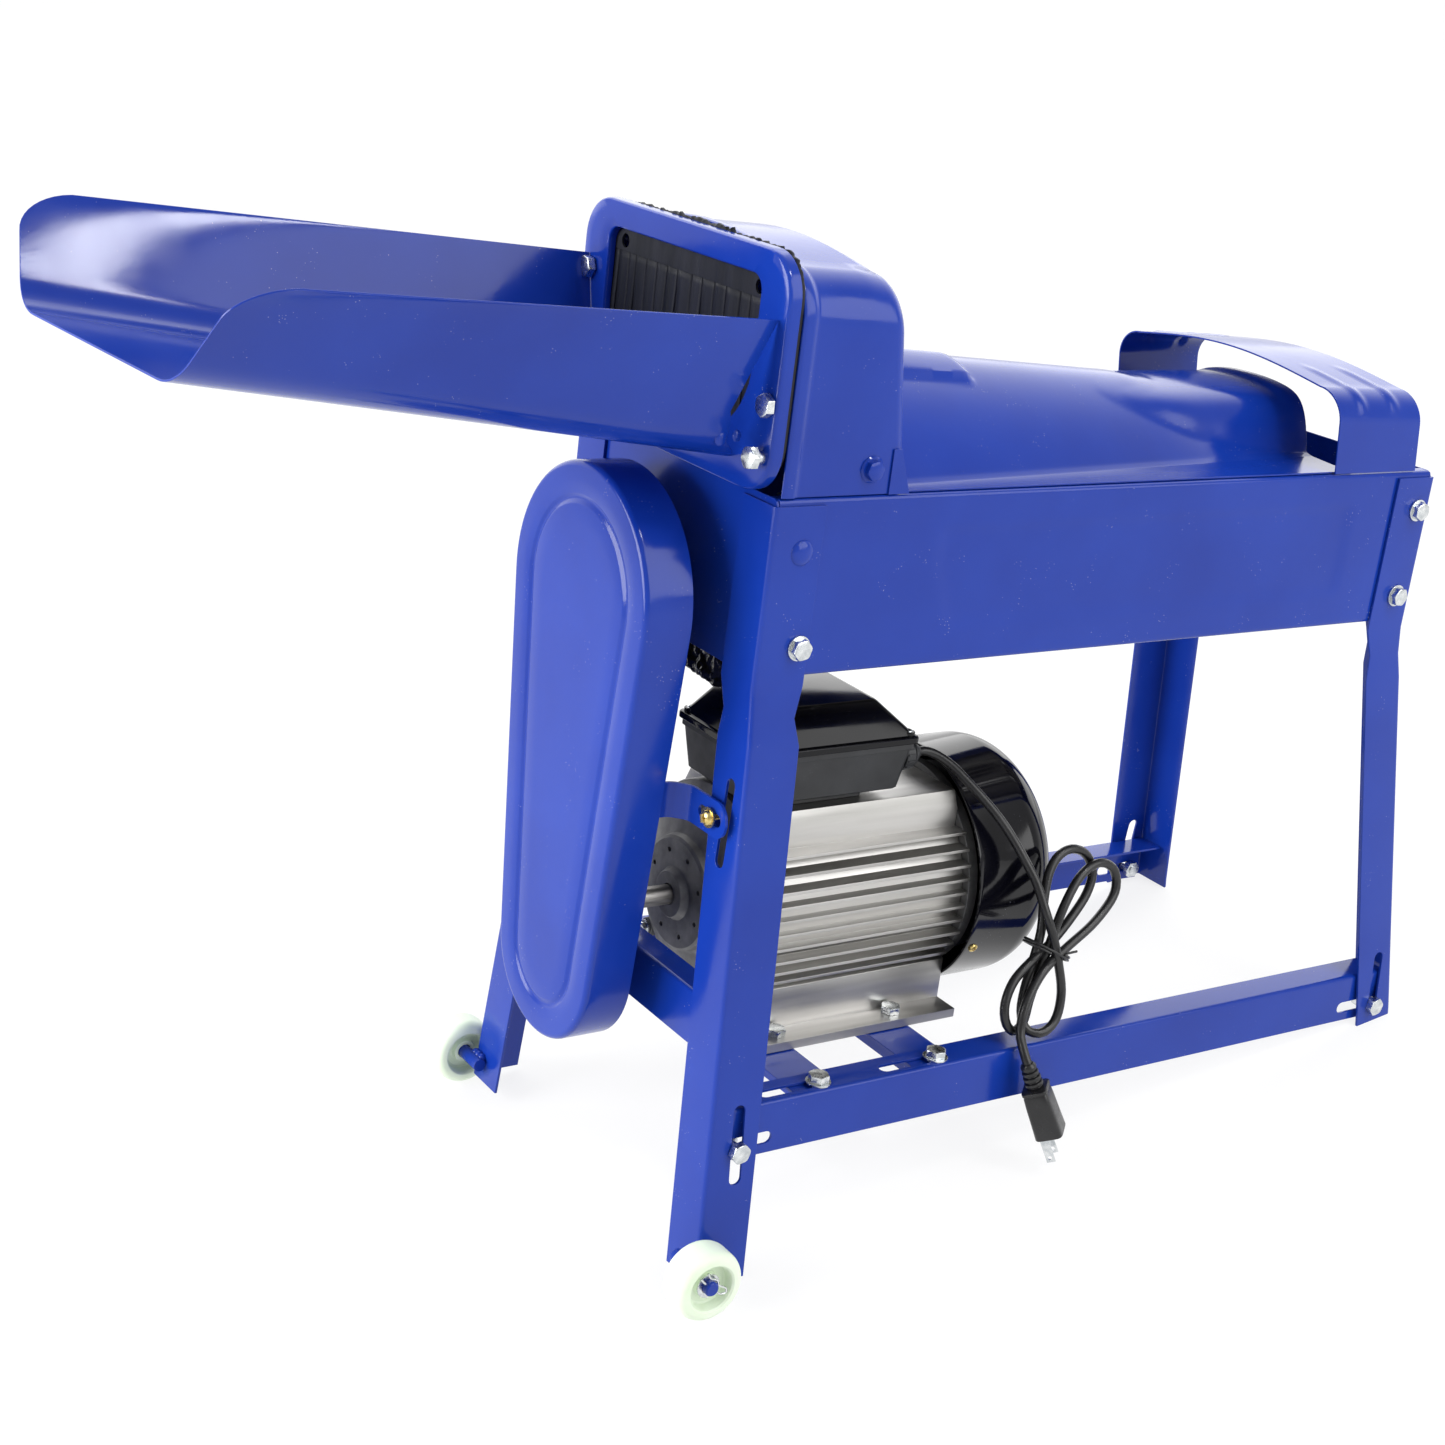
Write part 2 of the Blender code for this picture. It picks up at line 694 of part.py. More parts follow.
def hex_bolt(name, head_radius, head, shank_radius, shank):
    """Hexagon-head bolt along local Z: the head sits above z = 0 and the shank hangs below it."""
    shape = bmesh.new()
    bmesh.ops.create_cone(shape, cap_ends=True, segments=6, radius1=head_radius, radius2=head_radius,
                          depth=head, matrix=Matrix.Translation((0, 0, head / 2)))
    obj = from_bmesh(name, shape)
    stem = rod(name + "_shank", shank_radius, shank + 0.001, 12)
    stem.location = (0, 0, (0.001 - shank) / 2)
    stem.parent = obj
    return join(obj, stem)


def rail_bolts():
    """Bolts that clamp the rails to the legs, from outside."""
    for end, x, z in (("front", 0.0085, RAIL_TOP - 0.0265), ("rear", 0.6165, RAIL_TOP - 0.0265)):
        for side, way in SIDES:
            face = leg_face(end, z) + GAP
            turn = Y_AXIS if way > 0 else (pi / 2, 0, 0)
            bolt = hex_bolt(f"rail_bolt_{end}_{side}", 0.0075, 0.0053, 0.004, 0.012)
            add(bolt, ZINC, (x, (face + 0.0009) * way, z), turn)


def leg_face(end, z):
    """Outer face of a leg's side flange at a height below its kink."""
    top = KINK_LOW - 0.018
    if end == "front":
        start, stop, bottom = LEG_OUT + 0.006, 0.158, FRONT_LEG_BOTTOM
    else:
        start, stop, bottom = LEG_OUT + 0.005, 0.148, REAR_LEG_BOTTOM
    return start + (stop - start) * (z - top) / (bottom - top)


def motor_bolts():
    """Bolts through the motor's feet and the slotted bars."""
    for end, x in zip(("front", "rear"), FOOT_BOLTS):
        for side, way in SIDES:
            bolt = hex_bolt(f"motor_bolt_{end}_{side}", 0.0075, 0.0053, 0.004, 0.018)
            add(bolt, ZINC, (x, FOOT_BOLT_HALF * way, FOOT_TOP + GAP))


# ---------------------------------------------------------------- drum and drive


def drum():
    """Drum shaft with a closed core and helical rows of pegs, on the drum's axis."""
    axis = bpy.data.objects.new("drum_axis", None)
    PARTS.objects.link(axis)
    axis.parent = CHASSIS
    axis.location = (0, 0, DRUM_Z)
    front, rear = BELT_X - 0.012, BOX_LENGTH + 0.010
    core_front, core_rear = 0.034, 0.556
    profile = [(0, rear), (SHAFT_RADIUS, rear), (SHAFT_RADIUS, core_rear), (DRUM_CORE, core_rear),
               (DRUM_CORE, core_front), (SHAFT_RADIUS, core_front), (SHAFT_RADIUS, front), (0, front)]
    body = turned("threshing_drum", profile, 24)
    rows = 4
    turns = 8
    shape = bmesh.new()
    for row in range(rows):
        for i in range(turns):
            angle = 2 * pi * row / rows + radians(42) * i
            x = core_front + 0.030 + (core_rear - core_front - 0.060) * (i + row / rows) / turns
            peg = Matrix.Rotation(angle, 4, "Z") @ Matrix.Translation(((DRUM_CORE + DRUM_TIP) / 2 - 0.002, 0, x))
            size = Matrix.Diagonal((DRUM_TIP - DRUM_CORE + 0.004, 0.008, 0.014, 1))
            bmesh.ops.create_cube(shape, size=1, matrix=peg @ size)
    pegs = from_bmesh("drum_pegs", shape)
    pegs.parent = body
    join(body, pegs)
    add(body, IRON, (0, 0, 0), X_AXIS, axis)
    return axis


def bearing_block(name, x, radius, half_width, parent_z):
    """Bearing block: a turned housing with a bore that clears the shaft."""
    bore = SHAFT_RADIUS + 0.0003
    profile = [(radius, half_width), (radius, -half_width), (bore, -half_width), (bore, half_width)]
    add(smooth(turned(name, profile, 32)), IRON, (x, 0, parent_z), X_AXIS)


def pulley_profile(radius, bore, half):
    """A V-groove pulley with a hub, as a closed ring profile about local Z."""
    groove = 0.010
    return [
        (radius, half), (radius, 0.0065), (radius - groove, 0.0042), (radius - groove, -0.0042),
        (radius, -0.0065), (radius, -half), (bore, -half), (bore, half),
    ]


def pulleys(drum_axis, motor_axis):
    big = turned("drum_pulley", pulley_profile(DRUM_PULLEY, SHAFT_RADIUS + GAP, 0.0090))
    add(smooth(big), IRON, (BELT_X, 0, 0), X_AXIS, drum_axis)
    small = turned("motor_pulley", pulley_profile(MOTOR_PULLEY, MOTOR_SHAFT + GAP, 0.0090))
    add(smooth(small), IRON, (BELT_X, 0, 0), X_AXIS, motor_axis)


def belt_outline(offset):
    """Open-belt outline round both pulleys at a distance from the groove bottoms, in y, z."""
    big = DRUM_PULLEY - 0.010 + offset
    small = MOTOR_PULLEY - 0.010 + offset
    span = DRUM_Z - MOTOR_Z
    lean = 90 - acos((big - small) / span) * 180 / pi
    return arc(0, DRUM_Z, big, -lean, 180 + lean, 25) + arc(0, MOTOR_Z, small, 180 + lean, 360 - lean, 17)


def v_belt():
    """Wedge-section belt in the pulley grooves, clear of the groove walls."""
    sections = ((0.0006, 0.0034), (0.0070, 0.0050))
    inner, outer = [belt_outline(offset) for offset, _ in sections]
    low, high = [half for _, half in sections]
    ring = [[(BELT_X - low, y, z) for y, z in inner], [(BELT_X - high, y, z) for y, z in outer],
            [(BELT_X + high, y, z) for y, z in outer], [(BELT_X + low, y, z) for y, z in inner]]
    shape = bmesh.new()
    grid = [[shape.verts.new(point) for point in row] for row in ring]
    count = len(inner)
    for a in range(4):
        for i in range(count):
            j = (i + 1) % count
            b = (a + 1) % 4
            shape.faces.new((grid[a][i], grid[a][j], grid[b][j], grid[b][i]))
    add(smooth(from_bmesh("v_belt", shape)), RUBBER)


COVER_TOP_Z = -0.088
COVER_LOW_Z = -0.340
COVER_TOP_RADIUS = 0.083
COVER_LOW_RADIUS = 0.060


def teardrop(inset, count=20):
    """Outline of the belt cover in y, z, moved in by inset: a wide arc on top and a narrow one below."""
    span = COVER_TOP_Z - COVER_LOW_Z
    lean = asin((COVER_TOP_RADIUS - COVER_LOW_RADIUS) / span) * 180 / pi
    top = arc(0, COVER_TOP_Z, COVER_TOP_RADIUS - inset, -lean, 180 + lean, count)
    low = arc(0, COVER_LOW_Z, COVER_LOW_RADIUS - inset, 180 + lean, 360 - lean, count - 4)
    return top + low


def belt_cover():
    """Pressed pan over the belt, open towards the box, with a raised inner panel on its face."""
    groove = 0.0012
    rows = [
        [(COVER_RIM, y, z) for y, z in teardrop(0)],
        [(COVER_FACE + 0.005, y, z) for y, z in teardrop(0)],
        [(COVER_FACE + 0.0012, y, z) for y, z in teardrop(0.0015)],
        [(COVER_FACE, y, z) for y, z in teardrop(0.005)],
        [(COVER_FACE, y, z) for y, z in teardrop(0.021)],
        [(COVER_FACE + groove, y, z) for y, z in teardrop(0.0235)],
        [(COVER_FACE, y, z) for y, z in teardrop(0.026)],
    ]
    obj = sheet("belt_cover", rows, SHEET, around=True)
    shape = bmesh.new()
    shape.from_mesh(obj.data)
    rim = [e for e in shape.edges if e.is_boundary and all(abs(v.co.x - COVER_FACE) < 1e-6 for v in e.verts)]
    bmesh.ops.contextual_create(shape, geom=rim)
    bmesh.ops.triangulate(shape, faces=[f for f in shape.faces if len(f.verts) > 4])
    bmesh.ops.recalc_face_normals(shape, faces=shape.faces)
    shape.to_mesh(obj.data)
    shape.free()
    add(smooth(obj, 30), BLUE)


def cover_brackets():
    """Slotted straps that hold the belt cover to the front flanges of the legs."""
    z = -0.2085
    for side, way in SIDES:
        near = 0.0745
        far = 0.1205
        outline = [(near, -0.012), (far - 0.012, -0.012)] + arc(far - 0.012, 0, 0.012, -80, 80, 7)
        outline += [(far - 0.012, 0.012), (near, 0.012)]
        outline = [(y * way, h) for y, h in outline]
        hole = [(y * way, h) for y, h in slot_outline(0.1020, 0, 0.026, 0.0085)]
        if way < 0:
            outline = outline[::-1]
        else:
            hole = hole[::-1]
        strap = flat("cover_bracket_" + side, [outline, hole], 0.002)
        add(strap, BLUE, (bracket_x(), 0, z), CROSS_PLANE)


def bracket_x():
    """The straps lie flat against the front of the legs' end flanges."""
    return -0.0118


# ---------------------------------------------------------------- motor

FOOT_UNDER = RAIL_TOP - ANGLE
FOOT_TOP = RAIL_TOP + 0.0050


def housing_outline():
    """Half of the extruded housing's section, from the top middle down the right side to the bottom middle.

    The section has a flat top, horizontal fins down its side and a foot with a web and a flange.
    """
    fins = 10
    first = 0.046
    pitch = 0.0104
    fin = 0.0022
    points = [(0.0, HOUSING_CORE + 0.002), (0.046, HOUSING_CORE + 0.002), (0.052, 0.060)]
    for i in range(fins):
        middle = first - pitch * i
        reach = min(sqrt(max(HOUSING_ENVELOPE ** 2 - middle ** 2, 0)), 0.0765)
        upper = sqrt(HOUSING_CORE ** 2 - min(abs(middle + fin / 2), 0.062) ** 2)
        lower = sqrt(HOUSING_CORE ** 2 - min(abs(middle - fin / 2), 0.062) ** 2)
        points += [(upper, middle + fin / 2), (reach, middle + fin / 2), (reach, middle - fin / 2),
                   (lower, middle - fin / 2)]
    web = 0.062
    top = FOOT_TOP - MOTOR_Z
    bottom = FOOT_UNDER - MOTOR_Z + 0.0004
    points += [(web, -0.0530), (web, top), (FOOT_HALF, top), (FOOT_HALF, bottom), (0.052, bottom),
               (0.052, -0.0560), (0.0, -HOUSING_CORE - 0.002)]
    return points


def motor_housing():
    half = housing_outline()
    outline = [(-y, z) for y, z in half[::-1]] + half[1:-1]
    outline = outline[::-1]
    bore = circle(0, 0, HOUSING_BORE, 48)
    obj = as_mesh(flat("motor_housing", [outline, bore], HOUSING_REAR - HOUSING_FRONT))
    for end, x in zip(("front", "rear"), FOOT_BOLTS):
        for side, way in SIDES:
            hole = rod(f"foot_hole_{end}_{side}", 0.0043, 0.03, 16)
            cut(obj, hole, (x, FOOT_BOLT_HALF * way, FOOT_TOP))
    middle = (HOUSING_FRONT + HOUSING_REAR) / 2
    add(obj, ALUMINIUM, (middle, 0, MOTOR_Z), CROSS_PLANE)


def motor_shell_parts():
    """End bell in front, end shield behind, and the domed fan cowl."""
    bell_back = HOUSING_FRONT - GAP
    bore = MOTOR_SHAFT + 0.0005
    bell = [
        (0.0775, bell_back), (0.0775, bell_back - 0.010), (0.070, bell_back - 0.014), (0.062, 0.052), (0.042, 0.046),
        (0.040, 0.040), (0.037, 0.0385), (0.018, 0.0385), (0.0165, 0.0335), (bore, 0.0335), (bore, 0.052),
        (0.021, 0.052), (0.021, 0.060), (0.060, 0.060), (0.060, bell_back),
    ]
    add(smooth(turned("motor_end_bell", bell)), CAST, (0, 0, MOTOR_Z), X_AXIS)
    start = HOUSING_REAR + GAP
    shield = [
        (0.0770, start + 0.008), (0.0770, start), (0.0600, start), (0.0600, start + 0.005),
        (0.0210, start + 0.005), (0.0210, start), (bore, start), (bore, start + 0.012), (0.026, start + 0.012),
        (0.030, start + 0.008),
    ]
    add(smooth(turned("motor_end_shield", shield)), CAST, (0, 0, MOTOR_Z), X_AXIS)
    add(smooth(turned("fan_cowl", cowl_profile(), 32)), BLACK_PAINT, (0, 0, MOTOR_Z), X_AXIS)


COWL_FRONT = HOUSING_REAR + 0.0005
COWL_WALL = 0.0012
COWL_ROUND = 0.032
COWL_INTAKE = 0.040


def cowl_profile():
    """Thin domed shell, open in front and with an intake opening behind, as one closed outline."""
    outer = [(COWL_INTAKE, COWL_REAR)]
    outer += [(COWL_RADIUS - COWL_ROUND + COWL_ROUND * sin(a), COWL_REAR - COWL_ROUND + COWL_ROUND * cos(a))
              for a in [radians(90 * i / 5) for i in range(6)]]
    outer += [(COWL_RADIUS, COWL_FRONT)]
    inside = COWL_ROUND - COWL_WALL
    inner = [(COWL_RADIUS - COWL_WALL, COWL_FRONT)]
    inner += [(COWL_RADIUS - COWL_ROUND + inside * sin(a), COWL_REAR - COWL_ROUND + inside * cos(a))
              for a in [radians(90 - 90 * i / 5) for i in range(6)]]
    inner += [(COWL_INTAKE, COWL_REAR - COWL_WALL)]
    return outer + inner


def motor_rotor():
    """Shaft with the rotor pack, on the motor's axis, and the fan behind."""
    axis = bpy.data.objects.new("motor_axis", None)
    PARTS.objects.link(axis)
    axis.parent = CHASSIS
    axis.location = (0, 0, MOTOR_Z)
    pack_front, pack_rear = 0.100, 0.205
    tip, tail = BELT_X - 0.013, 0.288
    profile = [(0, tail), (MOTOR_SHAFT, tail), (MOTOR_SHAFT, pack_rear), (0.036, pack_rear),
               (0.036, pack_front), (MOTOR_SHAFT, pack_front), (MOTOR_SHAFT, tip), (0, tip)]
    add(smooth(turned("motor_rotor", profile, 24)), STEEL, (0, 0, 0), X_AXIS, axis)
    stack = turned("motor_stator", ring_profile(0.0365, HOUSING_BORE - 2 * GAP, 0.098, 0.207))
    add(smooth(stack), COPPER, (0, 0, MOTOR_Z), X_AXIS)
    return axis


def cooling_fan(axis):
    """Radial fan on the rear end of the motor shaft: a disc with straight blades and a hub."""
    bore = MOTOR_SHAFT + GAP
    disc = [(0.070, 0.2700), (0.070, 0.2680), (bore, 0.2680), (bore, 0.2840), (0.014, 0.2840), (0.014, 0.2700)]
    fan = turned("cooling_fan", disc, 32)
    shape = bmesh.new()
    blades = 8
    for i in range(blades):
        place = Matrix.Rotation(2 * pi * i / blades, 4, "Z") @ Matrix.Translation((0.041, 0, 0.2780))
        bmesh.ops.create_cube(shape, size=1, matrix=place @ Matrix.Diagonal((0.050, 0.0018, 0.018, 1)))
    vanes = from_bmesh("fan_blades", shape)
    vanes.parent = fan
    join(fan, vanes)
    add(fan, BLACK_PLASTIC, (0, 0, 0), X_AXIS, axis)


TERMINAL_Y = -0.006
TERMINAL_LOW = -0.2330
TERMINAL_RIM = -0.1980
TERMINAL_TOP = -0.1680
TERMINAL_FRONT = 0.055
TERMINAL_REAR = 0.190
TERMINAL_HALF = 0.0455


def ring_at(z, inset, front=0.0, rear=0.0):
    """Rectangle of the terminal box's plan at a height, moved in all round."""
    x0, x1 = TERMINAL_FRONT + inset + front, TERMINAL_REAR - inset - rear
    y0, y1 = TERMINAL_Y - TERMINAL_HALF + inset, TERMINAL_Y + TERMINAL_HALF - inset
    return [(x0, y0, z), (x1, y0, z), (x1, y1, z), (x0, y1, z)]


def terminal_box():
    """Open box that holds the capacitor, on a pedestal on top of the motor."""
    wall = 0.0025
    rings = [
        ring_at(TERMINAL_RIM, wall), ring_at(TERMINAL_LOW + 0.0030, wall + 0.004),
    ]
    outer = [ring_at(TERMINAL_LOW, 0.005), ring_at(TERMINAL_RIM, 0.0)]
    shape = bmesh.new()
    grid = [[shape.verts.new(point) for point in ring] for ring in outer + rings]
    for lower, upper in zip(grid, grid[1:]):
        for i in range(4):
            j = (i + 1) % 4
            shape.faces.new((lower[i], lower[j], upper[j], upper[i]))
    shape.faces.new(grid[0])
    shape.faces.new(grid[-1])
    add(from_bmesh("terminal_box", shape), BLACK_PLASTIC)
    rim = TERMINAL_RIM + GAP
    lid = [ring_at(rim, -0.0025), ring_at(rim + 0.005, -0.0025), ring_at(rim + 0.007, 0.001),
           ring_at(TERMINAL_TOP, 0.014, 0.004, 0.014)]
    add(loft("terminal_lid", lid), BLACK_PLASTIC)
    base = block("terminal_pedestal", (0.075, 0.060, 0.0064))
    add(base, BLACK_PLASTIC, (0.125, TERMINAL_Y, TERMINAL_LOW - GAP - 0.0032))
    can = rod("run_capacitor", 0.0140, 0.090, 24)
    add(smooth(can), ALUMINIUM, (0.120, TERMINAL_Y + 0.015, TERMINAL_LOW + 0.0180), X_AXIS)


GLAND = Vector((TERMINAL_REAR + 0.0032, TERMINAL_Y - 0.028, -0.2125))


def cable_gland():
    """Stepped gland in the rear wall of the terminal box; the cord starts at its rear face."""
    made = turned("cable_gland", [(0, 0.016), (0.0050, 0.016), (0.0075, 0.012), (0.0090, 0.008),
                                  (0.0105, 0.008), (0.0105, 0.0), (0, 0.0)], 20)
    add(smooth(made), BLACK_PLASTIC, GLAND - Vector((0.002, 0, 0)), X_AXIS)


# ---------------------------------------------------------------- cord, in floor coordinates

# From the gland over the fan cowl and down to the hank.
LEAD_ROUTE = (
    (0.0675, -0.0340, 0.2822), (0.0740, -0.0343, 0.2813), (0.0820, -0.0385, 0.2772), (0.0892, -0.0462, 0.2700),
    (0.0955, -0.0565, 0.2600), (0.1020, -0.0680, 0.2485), (0.1080, -0.0795, 0.2360), (0.1135, -0.0895, 0.2215),
    (0.1175, -0.0985, 0.2075), (0.1205, -0.1070, 0.1945),
)
# From the hank, in front of the rail's upper edge, down to the plug.
TAIL_ROUTE = ((0.0758, -0.1383, 0.1010), (0.0760, -0.1440, 0.0968), (0.0773, -0.1500, 0.0916),
              (0.0794, -0.1538, 0.0866))
HANK_MIDDLE = (0.1305, -0.1205, 0.1512)
HANK_LENGTH = 0.144
HANK_WIDTH = 0.066
HANK_THICK = 0.0195
HANK_TURN = radians(49.9)      # its long side rises towards the rear by this much
HANK_LEAN = radians(15.6)      # its top leans in towards the cowl
PLUG_TOP = Vector((0.0799, -0.1541, 0.0850))
PLUG_AXIS = Vector((0.351, -0.210, -0.912)).normalized()
PLUG_GROUND = Vector((0.923, 0.240, 0.2995))


def smooth_route(points, spacing):
    """Points at an even spacing along a smooth curve through the route's points."""
    given = [Vector(p) for p in points]
    ends = [2 * given[0] - given[1]] + given + [2 * given[-1] - given[-2]]
    dense = []
    for a, b, c, d in zip(ends, ends[1:], ends[2:], ends[3:]):
        for i in range(20):
            t = i / 20
            dense.append(0.5 * (2 * b + (c - a) * t + (2 * a - 5 * b + 4 * c - d) * t * t
                                + (3 * b - a - 3 * c + d) * t ** 3))
    dense.append(ends[-2])
    total = sum((q - p).length for p, q in zip(dense, dense[1:]))
    count = max(2, round(total / spacing))
    picked = [dense[0]]
    walked = 0.0
    for p, q in zip(dense, dense[1:]):
        walked += (q - p).length
        if walked >= total * len(picked) / count - 1e-9:
            picked.append(q)
    return picked


def cord():
    """The cord's two free stretches, and the tied hank between them as one flat solid."""
    spacing = 5 * CORD_RADIUS
    add(tube("cord_lead", smooth_route(LEAD_ROUTE, spacing), CORD_RADIUS), CORD, parent=None)
    add(tube("cord_tail", smooth_route(TAIL_ROUTE, spacing / 2), CORD_RADIUS), CORD, parent=None)
    outline = slot_outline(0, 0, HANK_LENGTH, HANK_WIDTH)
    c, s = cos(HANK_TURN), sin(HANK_TURN)
    turned_outline = [(x * c - y * s, x * s + y * c) for x, y in outline]
    hank = flat("cord_hank", [turned_outline], HANK_THICK)
    add(hank, CORD, HANK_MIDDLE, (pi / 2 - HANK_LEAN, 0, 0), None)


def power_plug():
    """Moulded three-pin plug: ribbed relief, tapered body, two flat blades and a round earth pin."""
    relief, length = 0.0220, 0.0650
    rings = []
    for z, half_x, half_y in ((0.0, 0.0043, 0.0043), (0.005, 0.0062, 0.0062), (relief, 0.0075, 0.0075),
                              (relief + 0.004, 0.0115, 0.0125), (length - 0.012, 0.0125, 0.0145),
                              (length, 0.0120, 0.0140)):
        rings.append([(half_x * cos(a), half_y * sin(a), z) if z <= relief else
                      (half_x * softened(cos(a)), half_y * softened(sin(a)), z)
                      for a in [2 * pi * (i + 0.5) / 16 for i in range(16)]])
    body = loft("power_plug", rings)
    for name, way in (("blade_a", 1), ("blade_b", -1)):
        blade = block(name, (0.0063, 0.0015, 0.0190))
        blade.location = (-0.0050, 0.00635 * way, length + 0.0085)
        blade.parent = body
        join(body, blade)
    pin = rod("earth_pin", 0.0024, 0.0225, 12)
    pin.location = (0.0069, 0, length + 0.01025)
    pin.parent = body
    join(body, pin)
    across = PLUG_AXIS.cross(PLUG_GROUND).normalized()
    ground = across.cross(PLUG_AXIS)
    turn = Matrix((ground, across, PLUG_AXIS)).transposed().to_euler()
    add(body, RUBBER, PLUG_TOP, turn, None)


def softened(value):
    """Pushes a circle's coordinate outwards, towards a square with round corners."""
    return abs(value) ** 0.55 * (1 if value > 0 else -1)


# ---------------------------------------------------------------- wheels


def wheels():
    """Moulded wheels on blue axle pins that are welded across the front flanges of the front legs."""
    x, z = to_chassis(WHEEL_X, WHEEL_RADIUS)
    for side, way in SIDES:
        half = WHEEL_WIDTH / 2
        crown = [(WHEEL_RADIUS - 0.006 + 0.006 * cos(a), half - 0.0075 + 0.0075 * sin(a))
                 for a in [radians(90 - 30 * i) for i in range(4)]]
        tread = crown + [(r, -h) for r, h in crown[::-1]]
        profile = [(0.0155, half)] + tread + [(0.0155, -half), (0.0120, -0.0040), (0.0053, -0.0040),
                                              (0.0053, 0.0035), (0.0120, 0.0035)]
        hub = bpy.data.objects.new("wheel_axis_" + side, None)
        PARTS.objects.link(hub)
        hub.parent = CHASSIS
        hub.location = (x, WHEEL_HALF * way, z)
        turn = Y_AXIS if way > 0 else (pi / 2, 0, 0)
        add(smooth(turned("wheel_" + side, profile, 24)), NYLON, (0, 0, 0), turn, hub)
        start = 0.1330
        end = WHEEL_HALF + half + 0.0005
        pin = rod("wheel_axle_" + side, 0.0050, end - start, 20)
        add(smooth(pin), BLUE, (x, (start + end) / 2 * way, z), Y_AXIS)


# ---------------------------------------------------------------- build

side_panels()
end_plates()
concave_screen()
discharge_apron()
top_cover()
feed_hood()
feed_frame()
hood_seal()
rubber_curtain()
feed_chute()
outlet_hood()
front_legs()
rear_legs()
long_rails()
cross_rail()
motor_bars()
rail_bolts()
motor_bolts()
DRUM_AXIS = drum()
bearing_block("drum_bearing_front", 0.0110, 0.0260, 0.0090, DRUM_Z)
bearing_block("drum_bearing_rear", BOX_LENGTH - 0.0110, 0.0260, 0.0090, DRUM_Z)
motor_housing()
motor_shell_parts()
MOTOR_AXIS = motor_rotor()
cooling_fan(MOTOR_AXIS)
pulleys(DRUM_AXIS, MOTOR_AXIS)
v_belt()
belt_cover()
cover_brackets()
terminal_box()
cable_gland()
cord()
power_plug()
wheels()
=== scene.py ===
"""Looks of the electric corn sheller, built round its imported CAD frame.

Most pieces are given in the chassis frame: x runs from the front end of the sheller box to its rear,
y = 0 is the middle plane and z = 0 is the box's top edge. The cord is in floor coordinates.
"""

from math import acos, asin, cos, pi, radians, sin, sqrt, tan

import bmesh
import bpy
from mathutils import Matrix, Vector, noise


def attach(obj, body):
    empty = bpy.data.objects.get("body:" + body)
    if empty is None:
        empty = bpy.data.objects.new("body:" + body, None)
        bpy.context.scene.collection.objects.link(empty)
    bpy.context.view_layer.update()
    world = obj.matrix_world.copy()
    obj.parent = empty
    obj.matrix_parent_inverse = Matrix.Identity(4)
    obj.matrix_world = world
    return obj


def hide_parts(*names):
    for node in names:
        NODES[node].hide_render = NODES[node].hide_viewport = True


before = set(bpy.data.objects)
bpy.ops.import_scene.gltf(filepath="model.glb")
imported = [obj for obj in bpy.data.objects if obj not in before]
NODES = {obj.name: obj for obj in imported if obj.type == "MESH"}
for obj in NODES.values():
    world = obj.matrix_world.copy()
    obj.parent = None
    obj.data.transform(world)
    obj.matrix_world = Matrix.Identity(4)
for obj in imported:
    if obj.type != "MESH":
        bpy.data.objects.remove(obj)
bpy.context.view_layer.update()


def moved(*place):
    return Matrix.Translation(place)


def turn_by(angle, axis):
    return Matrix.Rotation(angle, 4, axis)


PITCH = radians(7.82)
DECK_HEIGHT = 0.5211
ORIGIN_SHIFT = -0.11045
CHASSIS = moved(ORIGIN_SHIFT, 0, DECK_HEIGHT) @ turn_by(PITCH, "Y")
FLOOR = Matrix.Identity(4)

SHEET = 0.0012
ANGLE = 0.002
GAP = 0.0003
CREASE = 35
SIDES = (("right", -1), ("left", 1))
ALONG_X = turn_by(pi / 2, "Y")
CROSS_PLANE = turn_by(pi / 2, "Z") @ turn_by(pi / 2, "X")
SIDE_PLANE = turn_by(pi / 2, "X")

# ---------------------------------------------------------------- finishes


def shader_of(name):
    made = bpy.data.materials.new(name)
    made.use_nodes = True
    return made, made.node_tree.nodes["Principled BSDF"]


FINISHES = {}


